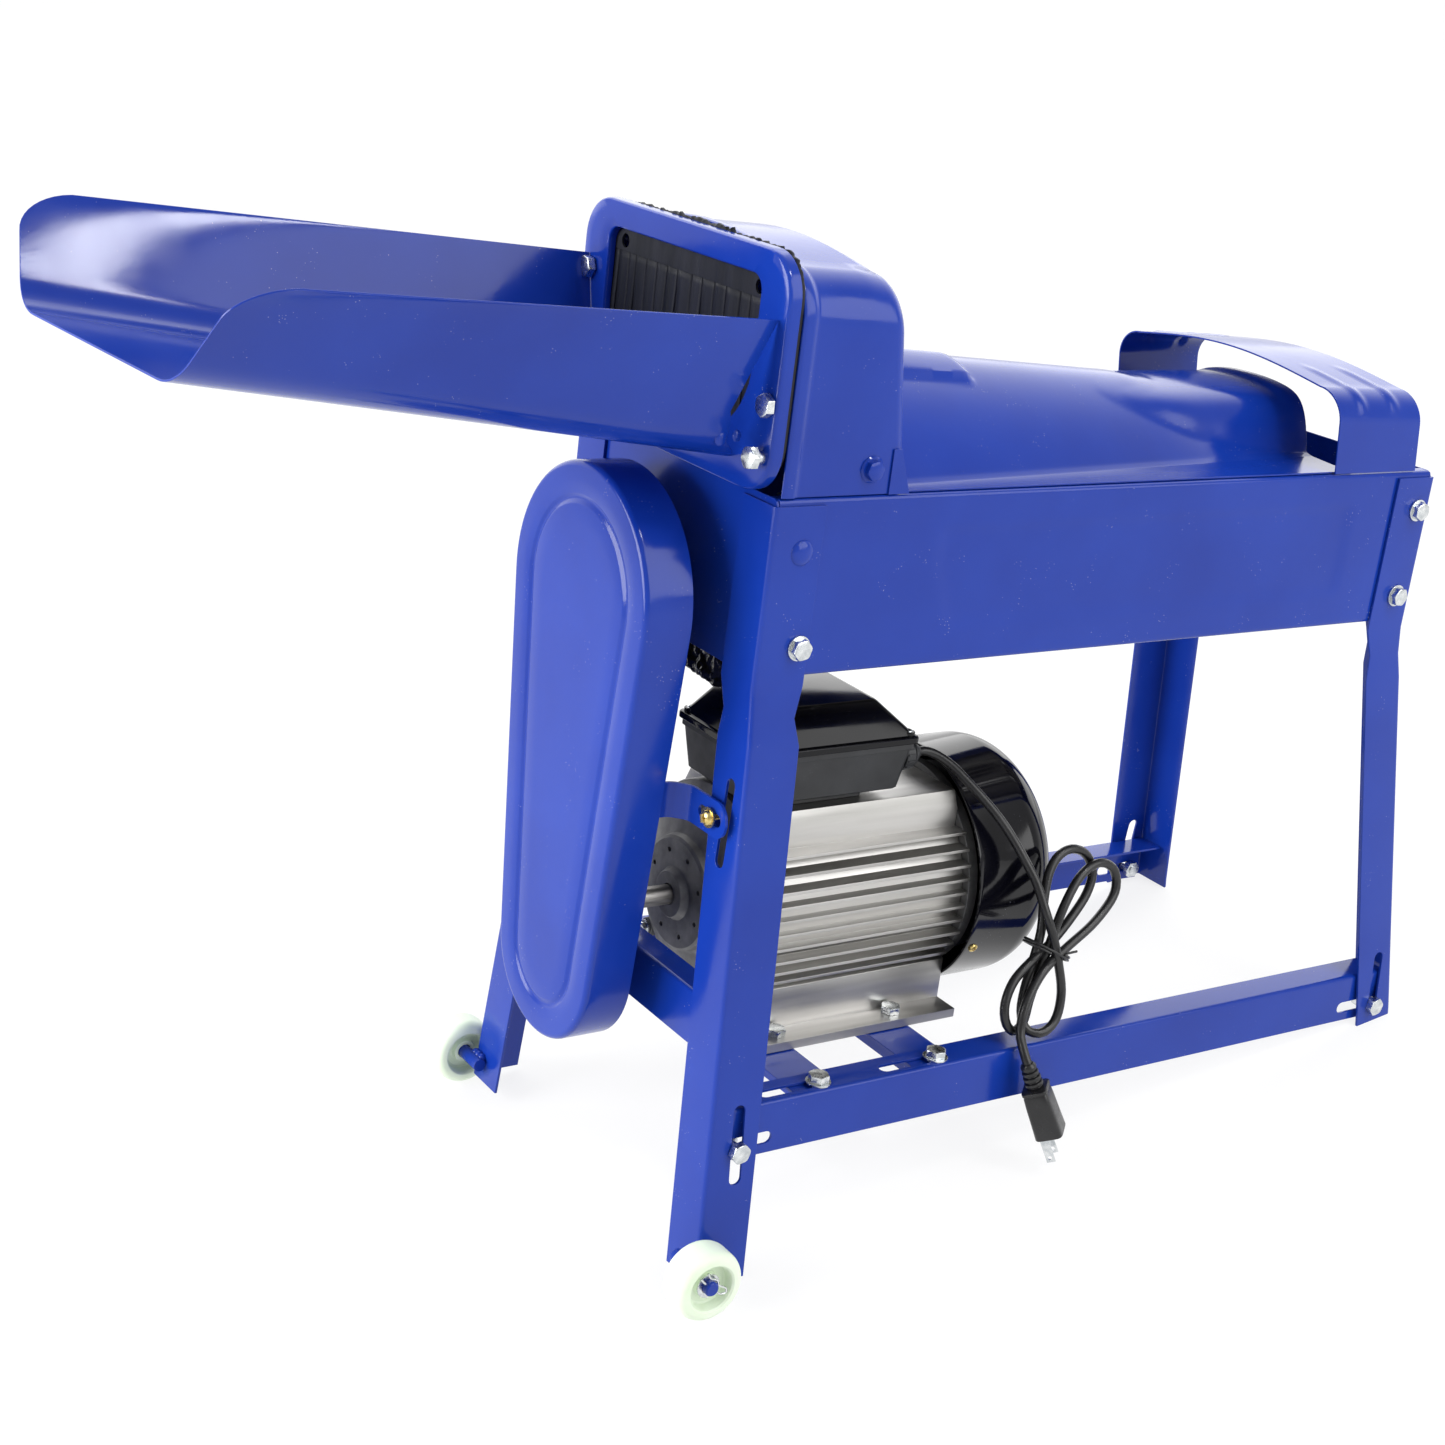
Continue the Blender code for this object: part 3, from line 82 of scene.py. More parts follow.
def finish(name, dark, light, rough, metallic=0.0, mottle=25.0, grain=600.0, depth=0.02, reach=0.00015,
           stretch=(1, 1, 1), specks=0.0, speck_scale=900.0, pitting=0.0, subsurface=0.0, mirror=0.5):
    """A procedural finish: mottled colour, uneven roughness, a fine grain and, where asked, specks."""
    made, shader = shader_of(name)
    nodes, links = made.node_tree.nodes, made.node_tree.links
    place = nodes.new("ShaderNodeTexCoord")
    mapping = nodes.new("ShaderNodeMapping")
    mapping.vector_type = "TEXTURE"
    mapping.inputs["Rotation"].default_value = (0, PITCH, 0)
    mapping.inputs["Scale"].default_value = [1 / s for s in stretch]
    links.new(place.outputs["Object"], mapping.inputs["Vector"])

    def noise_at(scale, detail=4.0):
        made_noise = nodes.new("ShaderNodeTexNoise")
        made_noise.inputs["Scale"].default_value = scale
        made_noise.inputs["Detail"].default_value = detail
        links.new(mapping.outputs["Vector"], made_noise.inputs["Vector"])
        return made_noise.outputs["Fac"]

    def spread(source, low, high, from_low=0.3, from_high=0.7):
        ranged = nodes.new("ShaderNodeMapRange")
        ranged.inputs["From Min"].default_value = from_low
        ranged.inputs["From Max"].default_value = from_high
        ranged.inputs["To Min"].default_value = low
        ranged.inputs["To Max"].default_value = high
        links.new(source, ranged.inputs["Value"])
        return ranged.outputs["Result"]

    broad = noise_at(mottle)
    colour = nodes.new("ShaderNodeMix")
    colour.data_type = "RGBA"
    colour.inputs["A"].default_value = (*dark, 1)
    colour.inputs["B"].default_value = (*light, 1)
    links.new(spread(broad, 0, 1), colour.inputs["Factor"])
    result = colour.outputs["Result"]
    if specks:
        dots = nodes.new("ShaderNodeTexVoronoi")
        dots.inputs["Scale"].default_value = speck_scale
        links.new(place.outputs["Object"], dots.inputs["Vector"])
        few = nodes.new("ShaderNodeMath")
        few.operation = "MULTIPLY"
        links.new(spread(dots.outputs["Distance"], 1, 0, 0.06, 0.14), few.inputs[0])
        links.new(spread(noise_at(speck_scale * 0.13, 2.0), 0, specks, 0.60, 0.66), few.inputs[1])
        dusty = nodes.new("ShaderNodeMix")
        dusty.data_type = "RGBA"
        dusty.inputs["B"].default_value = (0.45, 0.47, 0.55, 1)
        links.new(few.outputs["Value"], dusty.inputs["Factor"])
        links.new(result, dusty.inputs["A"])
        result = dusty.outputs["Result"]
    links.new(result, shader.inputs["Base Color"])
    links.new(spread(noise_at(mottle * 2.3), rough[0], rough[1]), shader.inputs["Roughness"])
    shader.inputs["Metallic"].default_value = metallic
    shader.inputs["Specular IOR Level"].default_value = mirror
    if subsurface:
        shader.inputs["Subsurface Weight"].default_value = subsurface
        shader.inputs["Subsurface Radius"].default_value = (0.004, 0.004, 0.003)
    bump = nodes.new("ShaderNodeBump")
    bump.inputs["Strength"].default_value = depth
    bump.inputs["Distance"].default_value = reach
    height = noise_at(grain, 3.0)
    if pitting:
        both = nodes.new("ShaderNodeMath")
        both.operation = "MULTIPLY_ADD"
        links.new(noise_at(grain * 0.18, 2.0), both.inputs[0])
        both.inputs[1].default_value = pitting
        links.new(height, both.inputs[2])
        height = both.outputs["Value"]
    links.new(height, bump.inputs["Height"])
    links.new(bump.outputs["Normal"], shader.inputs["Normal"])
    FINISHES[name] = made


# Stoved enamel with a little orange peel and a few dust specks.
finish("blue_paint", (0.004, 0.027, 0.265), (0.007, 0.038, 0.325), (0.10, 0.20), mottle=9.0, grain=330.0,
       depth=0.22, reach=0.0001, specks=0.8, speck_scale=420.0, pitting=2.0, mirror=0.34)
finish("zinc_steel", (0.50, 0.53, 0.55), (0.78, 0.80, 0.80), (0.16, 0.34), 1.0, mottle=220.0, grain=1500.0,
       depth=0.25, reach=0.00008)
finish("bare_steel", (0.22, 0.21, 0.20), (0.42, 0.41, 0.40), (0.28, 0.50), 1.0, mottle=60.0, grain=900.0,
       depth=0.3, reach=0.0001, stretch=(1, 6, 6))
finish("cast_iron", (0.045, 0.045, 0.048), (0.11, 0.105, 0.10), (0.45, 0.70), 0.8, mottle=45.0, grain=700.0,
       depth=0.5, reach=0.0002, pitting=1.0)
finish("brushed_aluminium", (0.36, 0.355, 0.34), (0.60, 0.59, 0.575), (0.30, 0.48), 1.0, mottle=40.0,
       grain=1400.0, depth=0.35, reach=0.00008, stretch=(0.05, 1, 1))
finish("cast_aluminium", (0.13, 0.13, 0.135), (0.24, 0.24, 0.24), (0.50, 0.68), 0.75, mottle=55.0,
       grain=800.0, depth=0.6, reach=0.0002, specks=0.5, speck_scale=500.0, pitting=1.2)
finish("black_enamel", (0.0015, 0.0015, 0.003), (0.003, 0.003, 0.006), (0.05, 0.12), mottle=12.0,
       grain=260.0, depth=0.15, reach=0.0001, specks=0.4, speck_scale=420.0, mirror=0.36)
finish("black_plastic", (0.010, 0.011, 0.013), (0.019, 0.021, 0.025), (0.34, 0.50), mottle=35.0,
       grain=1800.0, depth=0.3, reach=0.0001, specks=0.25, speck_scale=700.0)
finish("gloss_black_plastic", (0.0015, 0.0015, 0.0025), (0.004, 0.004, 0.006), (0.07, 0.14), mottle=14.0,
       grain=300.0, depth=0.1, reach=0.0001, specks=0.3, mirror=0.25)
finish("black_rubber", (0.005, 0.006, 0.009), (0.017, 0.018, 0.025), (0.42, 0.66), mottle=60.0, grain=900.0,
       depth=0.45, reach=0.00025, stretch=(1, 1, 0.06), specks=0.3, speck_scale=900.0, mirror=0.18)
finish("mint_nylon", (0.70, 0.82, 0.62), (0.80, 0.89, 0.74), (0.32, 0.46), mottle=30.0, grain=500.0,
       depth=0.2, reach=0.00015, subsurface=0.15)
finish("copper_winding", (0.34, 0.12, 0.05), (0.60, 0.27, 0.12), (0.30, 0.45), 1.0, mottle=120.0,
       grain=1500.0, depth=0.8, reach=0.0003, stretch=(8, 1, 1))
finish("cord_jacket", (0.005, 0.005, 0.006), (0.012, 0.012, 0.013), (0.24, 0.38), mottle=70.0, grain=500.0,
       depth=0.25, reach=0.0001, specks=0.3, speck_scale=600.0)
finish("brass_plated", (0.55, 0.40, 0.12), (0.80, 0.64, 0.28), (0.18, 0.32), 1.0, mottle=300.0,
       grain=1500.0, depth=0.2, reach=0.00008)
finish("crinkled_film", (0.004, 0.004, 0.005), (0.012, 0.012, 0.014), (0.08, 0.22), mottle=60.0,
       grain=260.0, depth=0.6, reach=0.0006)

# ---------------------------------------------------------------- placing pieces


def put(obj, look, body="stand", nodes=(), place=FLOOR, base=CHASSIS):
    """Link a piece in its place, on its CAD body, with its finish and the CAD nodes it stands for."""
    bpy.context.scene.collection.objects.link(obj)
    obj.data.transform(base @ place)
    obj.data.materials.clear()
    obj.data.materials.append(FINISHES[look])
    bpy.context.view_layer.update()
    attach(obj, body)
    if nodes:
        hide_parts(*((nodes,) if isinstance(nodes, str) else nodes))
    return obj


def from_bmesh(name, shape, normals=True):
    mesh = bpy.data.meshes.new(name)
    if normals:
        bmesh.ops.recalc_face_normals(shape, faces=shape.faces)
    shape.to_mesh(mesh)
    shape.free()
    return bpy.data.objects.new(name, mesh)


def eased(obj, width=0.0003, angle=40, segments=2):
    """Smooth shading with narrow rounded edges."""
    obj.data.shade_smooth()
    obj.data.set_sharp_from_angle(angle=radians(CREASE))
    made = obj.modifiers.new("ease", "BEVEL")
    made.width = width
    made.segments = segments
    made.limit_method = "ANGLE"
    made.angle_limit = radians(angle)
    made.harden_normals = True
    return obj


def cut(obj, cutter, place):
    """Cut a piece in its own frame and keep the result as its mesh."""
    scene = bpy.context.scene.collection
    scene.objects.link(obj)
    scene.objects.link(cutter)
    cutter.matrix_world = place
    made = obj.modifiers.new("cut", "BOOLEAN")
    made.solver = "EXACT"
    made.object = cutter
    bpy.context.view_layer.update()
    mesh = bpy.data.meshes.new_from_object(obj.evaluated_get(bpy.context.evaluated_depsgraph_get()))
    obj.modifiers.clear()
    obj.data = mesh
    scene.objects.unlink(obj)
    bpy.data.objects.remove(cutter, do_unlink=True)
    return obj


def refine(node, look, width):
    """A copy of a CAD node's mesh with merged flats and eased edges, in floor coordinates."""
    source = NODES[node]
    shape = bmesh.new()
    shape.from_mesh(source.data)
    shape.transform(source.matrix_world)
    bmesh.ops.remove_doubles(shape, verts=shape.verts, dist=0.000002)
    bmesh.ops.dissolve_limit(shape, angle_limit=radians(0.6), verts=shape.verts, edges=shape.edges)
    obj = eased(from_bmesh(node + "_look", shape, False), width)
    put(obj, look, nodes=node, base=FLOOR)


# ---------------------------------------------------------------- shapes


def turns(count):
    """Angles all the way round."""
    return [2 * pi * i / count for i in range(count)]


def quarter(count):
    """Angles from 0 to a right angle."""
    return [radians(90 * i / count) for i in range(count + 1)]


def arc(cx, cy, radius, start, end, count):
    step = (end - start) / (count - 1)
    turns = [radians(start + step * i) for i in range(count)]
    return [(cx + radius * cos(t), cy + radius * sin(t)) for t in turns]


def circle(cx, cy, radius, count=32):
    return arc(cx, cy, radius, 0, 360 - 360 / count, count)


def rounded_rectangle(left, right, low, high, radius, count=9, low_radius=None):
    corners = ((right, low, -90), (right, high, 0), (left, high, 90), (left, low, 180))
    points = []
    for x, y, start in corners:
        bend = low_radius if low_radius and y == low else radius
        cx = x - bend if x == right else x + bend
        cy = y - bend if y == high else y + bend
        points += arc(cx, cy, bend, start, start + 90, count)
    return points


def mix(first, second, share):
    return [tuple(p + (q - p) * share for p, q in zip(a, b)) for a, b in zip(first, second)]


def ramp(value, low, high):
    """0 below low and 1 above high, with a smooth rise between."""
    t = min(1.0, max(0.0, (value - low) / (high - low)))
    return t * t * (3 - 2 * t)


def filleted(points, radius, steps=5):
    """A 3-D polyline with each inner corner rounded."""
    made = [Vector(points[0])]
    for a, b, c in zip(points, points[1:], points[2:]):
        a, b, c = Vector(a), Vector(b), Vector(c)
        start = b + (a - b).normalized() * radius
        end = b + (c - b).normalized() * radius
        for i in range(steps + 1):
            t = i / steps
            made.append(start * (1 - t) ** 2 + b * 2 * t * (1 - t) + end * t ** 2)
    made.append(Vector(points[-1]))
    return made


def bridge(shape, lower, upper, around=True):
    """Quads between two rows of vertices."""
    count = len(lower)
    for i in range(count if around else count - 1):
        j = (i + 1) % count
        shape.faces.new((lower[i], lower[j], upper[j], upper[i]))


def bridged(shape, rows, around=True):
    """Vertices at rows of points, with quads from row to row."""
    grid = [[shape.verts.new(point) for point in row] for row in rows]
    for lower, upper in zip(grid, grid[1:]):
        bridge(shape, lower, upper, around)
    return grid


def add_loop(shape, rings):
    """A closed ring of closed sections."""
    grid = bridged(shape, rings)
    bridge(shape, grid[-1], grid[0])


def add_solid(shape, rings, base=True):
    """A body through rings of points, closed at its top and, where asked, at its base."""
    grid = bridged(shape, rings)
    if base:
        shape.faces.new(grid[0])
    shape.faces.new(grid[-1])


def skin(name, rows, thickness=SHEET, around=False, inward=True, cap=False):
    """A sheet through rows of points, with a wall and eased rims; around closes each row."""
    shape = bmesh.new()
    grid = bridged(shape, rows, around)
    if cap:
        shape.faces.new(grid[-1])
    bmesh.ops.recalc_face_normals(shape, faces=shape.faces)
    obj = from_bmesh(name, shape, False)
    wall = obj.modifiers.new("wall", "SOLIDIFY")
    wall.thickness = thickness
    wall.offset = -1 if inward else 1
    return eased(obj)


def walled(obj):
    """The same piece with its wall made real, so that it can be cut."""
    bpy.context.scene.collection.objects.link(obj)
    obj.modifiers.remove(obj.modifiers["ease"])
    bpy.context.view_layer.update()
    obj.data = bpy.data.meshes.new_from_object(obj.evaluated_get(bpy.context.evaluated_depsgraph_get()))
    obj.modifiers.clear()
    bpy.context.scene.collection.objects.unlink(obj)
    return obj


def pierced(obj, cutters):
    """A sheet piece with its wall made real and cut by (cutter, place) pairs."""
    obj = walled(obj)
    for cutter, place in cutters:
        obj = cut(obj, cutter, place)
    return obj


def solid(name, rings):
    shape = bmesh.new()
    add_solid(shape, rings)
    return from_bmesh(name, shape)


def loft(name, rings, width=0.0003):
    return eased(solid(name, rings), width)


def turned(name, profile, steps=72, width=0.0004):
    """A profile of (radius, height) turned about local Z; closed unless it starts on the axis."""
    shape = bmesh.new()
    rings = []
    for r, h in profile:
        if r <= 0:
            rings.append([shape.verts.new((0, 0, h))])
        else:
            rings.append([shape.verts.new((r * cos(a), r * sin(a), h)) for a in turns(steps)])
    pairs = list(zip(rings, rings[1:]))
    if profile[0][0] > 0:
        pairs.append((rings[-1], rings[0]))
    for lower, upper in pairs:
        for i in range(steps):
            j = (i + 1) % steps
            corners = [lower[i % len(lower)], lower[j % len(lower)], upper[j % len(upper)],
                       upper[i % len(upper)]]
            corners = list(dict.fromkeys(corners))
            if len(corners) > 2:
                shape.faces.new(corners)
    return eased(from_bmesh(name, shape), width)


def prism(name, outline, low, high, width=0.0003):
    """A flat plate from an outline in local x, y between two heights."""
    return loft(name, [[(x, y, z) for x, y in outline] for z in (low, high)], width)


def slot_shape(length, breadth, depth, upright=False):
    """A cutter for a slot along local X or Y, through local Z."""
    half = (length - breadth) / 2
    outline = arc(half, 0, breadth / 2, -90, 90, 9) + arc(-half, 0, breadth / 2, 90, 270, 9)
    if upright:
        outline = [(-y, x) for x, y in outline]
    return solid("slot", [[(x, y, z) for x, y in outline] for z in (-depth / 2, depth / 2)])


def add_box(shape, size, place):
    bmesh.ops.create_cube(shape, size=1, matrix=place @ Matrix.Diagonal((*size, 1)))


def add_rod(shape, radius, low, high, place, sides=24, tip=None):
    bmesh.ops.create_cone(shape, cap_ends=True, segments=sides, radius1=radius, radius2=radius
                          if tip is None else tip,
                          depth=high - low, matrix=place @ moved(0, 0, (low + high) / 2))


def add_hex(shape, radius, height, place, turn=0.2, flange=0.0):
    """A hexagon head with a chamfered crown and, where asked, a round flange."""
    rings = []
    for share, level in ((1.0, 0.0), (1.0, height * 0.80), (0.93, height * 0.93), (0.80, height)):
        ring = []
        for i in range(24):
            a = 2 * pi * i / 24
            near = (a % (pi / 3)) - pi / 6
            flat = radius * cos(pi / 6) / cos(near)
            reach = flat if share == 1.0 else min(flat, radius * share)
            ring.append(place @ Vector((reach * cos(a + turn), reach * sin(a + turn), level)))
        rings.append(ring)
    add_solid(shape, rings)
    if flange:
        add_rod(shape, flange, 0, height * 0.25, place, 32, flange * 0.86)


def add_dome(shape, place, radius, height, lifts):
    """A round head that is open at its base, with a ring at each angle above the base."""
    rings = [[place @ Vector((radius * cos(b) * cos(a), radius * cos(b) * sin(a), height * sin(b)))
              for a in turns(28)] for b in lifts]
    add_solid(shape, rings, False)


def facing(way):
    """Turns local Z towards a direction."""
    return Vector(way).to_track_quat("Z", "Y").to_matrix().to_4x4()


def bolts(name, look, spots, radius=0.0075, height=0.0053, washer=0.0085, shank=0.010, nodes=(), flange=0.0,
          nut=False):
    """Hexagon bolts at (place, direction) spots in the chassis frame, as one piece."""
    shape = bmesh.new()
    for i, (spot, way) in enumerate(spots):
        place = moved(*spot) @ facing(way)
        lift = 0.0
        if washer:
            add_rod(shape, washer, 0, 0.0014, place, 36)
            lift = 0.0014
        add_hex(shape, radius, height, place @ moved(0, 0, lift), 0.2 + 0.37 * i, flange)
        add_rod(shape, 0.0040, -shank, lift, place, 20)
        if nut:
            add_hex(shape, radius, 0.0055, place @ moved(0, 0, -shank + 0.001), 0.5 + 0.5 * i)
    put(eased(from_bmesh(name, shape), 0.0002, 50), look, nodes=nodes)


def screws(name, look, spots, radius=0.0045, height=0.0026, shank=0.006, washer=0.0):
    """Cross-head screws at (place, direction) spots in the chassis frame."""
    shape = bmesh.new()
    base = 0.0010 if washer else 0.0
    places = [moved(*spot) @ facing(way) @ turn_by(0.3 + i, "Z") for i, (spot, way) in enumerate(spots)]
    for place in places:
        if washer:
            add_rod(shape, washer, 0, base, place, 32)
        add_dome(shape, place @ moved(0, 0, base), radius, height, (0.0, 0.35, 0.7, 1.05, 1.3))
        add_rod(shape, radius * 0.45, -shank, base + height * 0.3, place, 16)
    obj = from_bmesh(name, shape)
    for place in places:
        for turn in (0, pi / 2):
            blade = bmesh.new()
            add_box(blade, (radius * 1.05, radius * 0.22, height),
                    place @ moved(0, 0, base + height) @ turn_by(turn, "Z"))
            cut(obj, from_bmesh("cross", blade), FLOOR)
    put(eased(obj, 0.00012, 50, 1), look)


def tube(name, points, radius, resolution=6):
    curve = bpy.data.curves.new(name, "CURVE")
    curve.dimensions = "3D"
    curve.bevel_depth = radius
    curve.bevel_resolution = resolution
    curve.use_fill_caps = True
    spline = curve.splines.new("POLY")
    spline.points.add(len(points) - 1)
    for point, place in zip(spline.points, points):
        point.co = (*place, 1)
    return bpy.data.objects.new(name, curve)


def smooth_route(points, spacing):
    """Points at an even spacing along a smooth curve through the route's points."""
    given = [Vector(p) for p in points]
    ends = [2 * given[0] - given[1]] + given + [2 * given[-1] - given[-2]]
    dense = []
    for a, b, c, d in zip(ends, ends[1:], ends[2:], ends[3:]):
        for i in range(20):
            t = i / 20
            dense.append(0.5 * (2 * b + (c - a) * t + (2 * a - 5 * b + 4 * c - d) * t * t
                                + (3 * b - a - 3 * c + d) * t ** 3))
    dense.append(ends[-2])
    total = sum((q - p).length for p, q in zip(dense, dense[1:]))
    count = max(2, round(total / spacing))
    picked, walked = [dense[0]], 0.0
    for p, q in zip(dense, dense[1:]):
        walked += (q - p).length
        if walked >= total * len(picked) / count - 1e-9:
            picked.append(q)
    return picked


# ---------------------------------------------------------------- camera


def camera():
    data = bpy.data.cameras.new("camera")
    data.sensor_width = 36
    data.lens = 58.41
    obj = bpy.data.objects.new("camera", data)
    obj.location = (-0.86625, -1.22544, 0.95617)
    obj.rotation_euler = (radians(90 - 23.381), 0, radians(-32.858))
    bpy.context.scene.collection.objects.link(obj)
    bpy.context.scene.camera = obj


camera()

# ---------------------------------------------------------------- cord, in floor coordinates

CORD_RADIUS = 0.0034
LEAD = (
    (0.0675, -0.0340, 0.2822), (0.0740, -0.0343, 0.2813), (0.0820, -0.0385, 0.2772),
    (0.0892, -0.0462, 0.2700), (0.0955, -0.0565, 0.2600), (0.1020, -0.0680, 0.2485),
    (0.1080, -0.0795, 0.2360), (0.1135, -0.0895, 0.2215), (0.1175, -0.0985, 0.2075),
    (0.1205, -0.1070, 0.1945),
)
# The hank: down from the lead, up through the tie, two loops to the rear and two turns below the tie.
HANK = (
    (0.1225, -0.1156, 0.1712), (0.1252, -0.1213, 0.1546), (0.1277, -0.1255, 0.1355),
    (0.1279, -0.1306, 0.1126), (0.1196, -0.1354, 0.0955), (0.1060, -0.1370, 0.0900),
    (0.0965, -0.1315, 0.0930), (0.0952, -0.1262, 0.1045), (0.1010, -0.1216, 0.1187),
    (0.1122, -0.1165, 0.1370), (0.1224, -0.1115, 0.1560), (0.1285, -0.1057, 0.1770),
    (0.1365, -0.1005, 0.1935), (0.1470, -0.0977, 0.2025), (0.1600, -0.0967, 0.2040),
    (0.1725, -0.0975, 0.1970), (0.1775, -0.1006, 0.1830), (0.1700, -0.1043, 0.1690),
    (0.1530, -0.1084, 0.1561), (0.1327, -0.1123, 0.1443), (0.1077, -0.1195, 0.1388),
    (0.0904, -0.1223, 0.1297), (0.0800, -0.1262, 0.1168), (0.0786, -0.1295, 0.1035),
    (0.0850, -0.1312, 0.0950), (0.0955, -0.1287, 0.0985), (0.1035, -0.1247, 0.1116),
    (0.1139, -0.1206, 0.1264), (0.1277, -0.1156, 0.1458), (0.1433, -0.1116, 0.1711),
    (0.1620, -0.1066, 0.1872), (0.1810, -0.1046, 0.1906), (0.1938, -0.1061, 0.1811),
    (0.1912, -0.1103, 0.1651), (0.1691, -0.1154, 0.1506), (0.1393, -0.1202, 0.1405),
    (0.1151, -0.1263, 0.1337), (0.0990, -0.1311, 0.1219), (0.0895, -0.1350, 0.1098),
)
HANK_SHIFT = Vector((-0.0010, -0.0020, 0.0040))
TAIL = ((0.0838, -0.1405, 0.1015), (0.0808, -0.1470, 0.0950), (0.0798, -0.1520, 0.0888),
        (0.0803, -0.1545, 0.0840))
PLUG_TOP = Vector((0.0799, -0.1541, 0.0850))
PLUG_AXIS = Vector((0.222, -0.263, -0.937)).normalized()
PLUG_GROUND = Vector((0.602, -0.672, 0.408))


def plug_place():
    across = PLUG_AXIS.cross(PLUG_GROUND).normalized()
    ground = across.cross(PLUG_AXIS)
    return moved(*PLUG_TOP) @ Matrix((ground, across, PLUG_AXIS)).transposed().to_4x4()


def squared(value, power=0.55):
    """Pushes a circle's coordinate outwards, towards a square with round corners."""
    return abs(value) ** power * (1 if value > 0 else -1)


def power_plug():
    """Ribbed relief and tapered body with a waist, then the two blades and the earth pin."""
    rings = []
    levels = [(0.0, 0.0042, 0.0042)]
    for i in range(4):
        z = 0.0020 + 0.0042 * i
        size = 0.0056 + 0.0004 * i
        levels += [(z, size, size), (z + 0.0023, size, size), (z + 0.0027, size - 0.0013, size - 0.0013),
                   (z + 0.0037, size - 0.0013, size - 0.0013)]
    levels += [(0.0188, 0.0088, 0.0092), (0.0196, 0.0094, 0.0104), (0.0216, 0.0094, 0.0104),
               (0.0222, 0.0086, 0.0096),
               (0.0238, 0.0090, 0.0104), (0.0300, 0.0094, 0.0108), (0.0440, 0.0098, 0.0110),
               (0.0562, 0.0102, 0.0114),
               (0.0570, 0.0099, 0.0111)]
    for z, a, b in levels:
        power = 1.0 if z < 0.0187 else 0.36
        rings.append([(a * squared(cos(t), power), b * squared(sin(t), power), z)
                      for t in [2 * pi * (i + 0.5) / 48 for i in range(48)]])
    body = loft("power_plug_body", rings, 0.0004)
    put(body, "cord_jacket", nodes="power_plug", place=plug_place(), base=FLOOR)
    shape = bmesh.new()
    for way in (-1, 1):
        add_box(shape, (0.0063, 0.0015, 0.0200), moved(-0.0045, 0.00635 * way, 0.0665))
    add_rod(shape, 0.0024, 0.0560, 0.0778, moved(0.0066, 0, 0), 24)
    bmesh.ops.create_uvsphere(shape, u_segments=24, v_segments=10, radius=0.0024,
                              matrix=moved(0.0066, 0, 0.0778))
    pins = from_bmesh("plug_pins", shape)
    for way in (-1, 1):
        hole = bmesh.new()
        bmesh.ops.create_cone(hole, cap_ends=True, segments=20, radius1=0.0016, radius2=0.0016, depth=0.006,
                              matrix=moved(-0.0045, 0.00635 * way, 0.0730) @ turn_by(pi / 2, "X"))
        cut(pins, from_bmesh("hole", hole), FLOOR)
    put(eased(pins, 0.0002, 50), "zinc_steel", place=plug_place(), base=FLOOR)
    return body, pins


def cord_tie():
    """Thin black wire tie round the hank, with its two ends crossed."""
    middle = Vector((0.1215, -0.1200, 0.1475))
    along = Vector((0.60, 0.12, 0.79)).normalized()
    side = along.cross(Vector((0, 1, 0))).normalized()
    out = side.cross(along).normalized()
    points = []
    for i in range(41):
        a = 2 * pi * i / 40 * 1.9 - 1.1
        points.append(middle + side * 0.0195 * cos(a) + out * 0.0150 * sin(a) + along
                      * (0.004 * i / 40 - 0.002))
    points.append(points[-1] + side * -0.008 - out * 0.002 + along * 0.006)
    tie = tube("cord_tie", smooth_route(points, 0.002), 0.0009, 3)
    return put(tie, "cord_jacket", base=FLOOR)


def cord():
    route = list(LEAD) + [Vector(p) + HANK_SHIFT for p in HANK] + list(TAIL)
    points = smooth_route(route, 0.004)
    obj = tube("mains_cord", points, CORD_RADIUS, 5)
    put(obj, "cord_jacket", nodes=("cord_lead", "cord_hank", "cord_tail"), base=FLOOR)
    body, pins = power_plug()
    tie = cord_tie()


cord()

# ---------------------------------------------------------------- feed chute, frame, curtain and seal

CHUTE_REACH = 0.376
CHUTE_ROOT = -0.0118
FEED_DEPTH = 0.0998
FEED_TOP = 0.148
BOX_HALF = 0.1166
BOX_LENGTH = 0.5876
BOX_HEIGHT = 0.1143
HOOD_LEAN = 0.15


def chute_section(t):
    """Section of the chute at t from its root: y, z points from rim to rim over the floor."""
    top_half = 0.1102 + 0.0333 * t
    floor_half = 0.088 + 0.014 * t
    top = 0.1075 + 0.0205 * t
    floor = 0.0175 + 0.0525 * t
    bend = 0.024 + 0.012 * t
    wall = Vector((top_half - floor_half, top - floor))
    tilt = acos(wall.normalized().dot(Vector((1, 0))))
    reach = bend * tan(tilt / 2)
    start = Vector((floor_half, floor)) + wall.normalized() * reach
    middle = Vector((floor_half - reach, floor + bend))
    curve = [(middle.x + bend * sin(a), middle.y - bend * cos(a)) for a in [tilt * i / 10 for i in range(11)]]
    rise = [(start.x + (top_half - start.x) * s, start.y + (top - start.y) * s)
            for s in [1 - (1 - i / 16) ** 1.7 for i in range(1, 17)]]
    half = [(curve[0][0] * i / 4, floor) for i in range(4)] + curve + rise
    return [(-y, z) for y, z in half[::-1]] + half[1:]


def chute_root(y, z):
    """The right wall's rear edge is cut back from the frame, deepest at a notch above the floor."""
    if y > -0.070:
        return CHUTE_ROOT
    if z > 0.0486:
        return CHUTE_ROOT - 0.0172 * (0.1075 - z) / 0.0589
    return CHUTE_ROOT - 0.0140 * ramp(z, 0.0180, 0.0330)


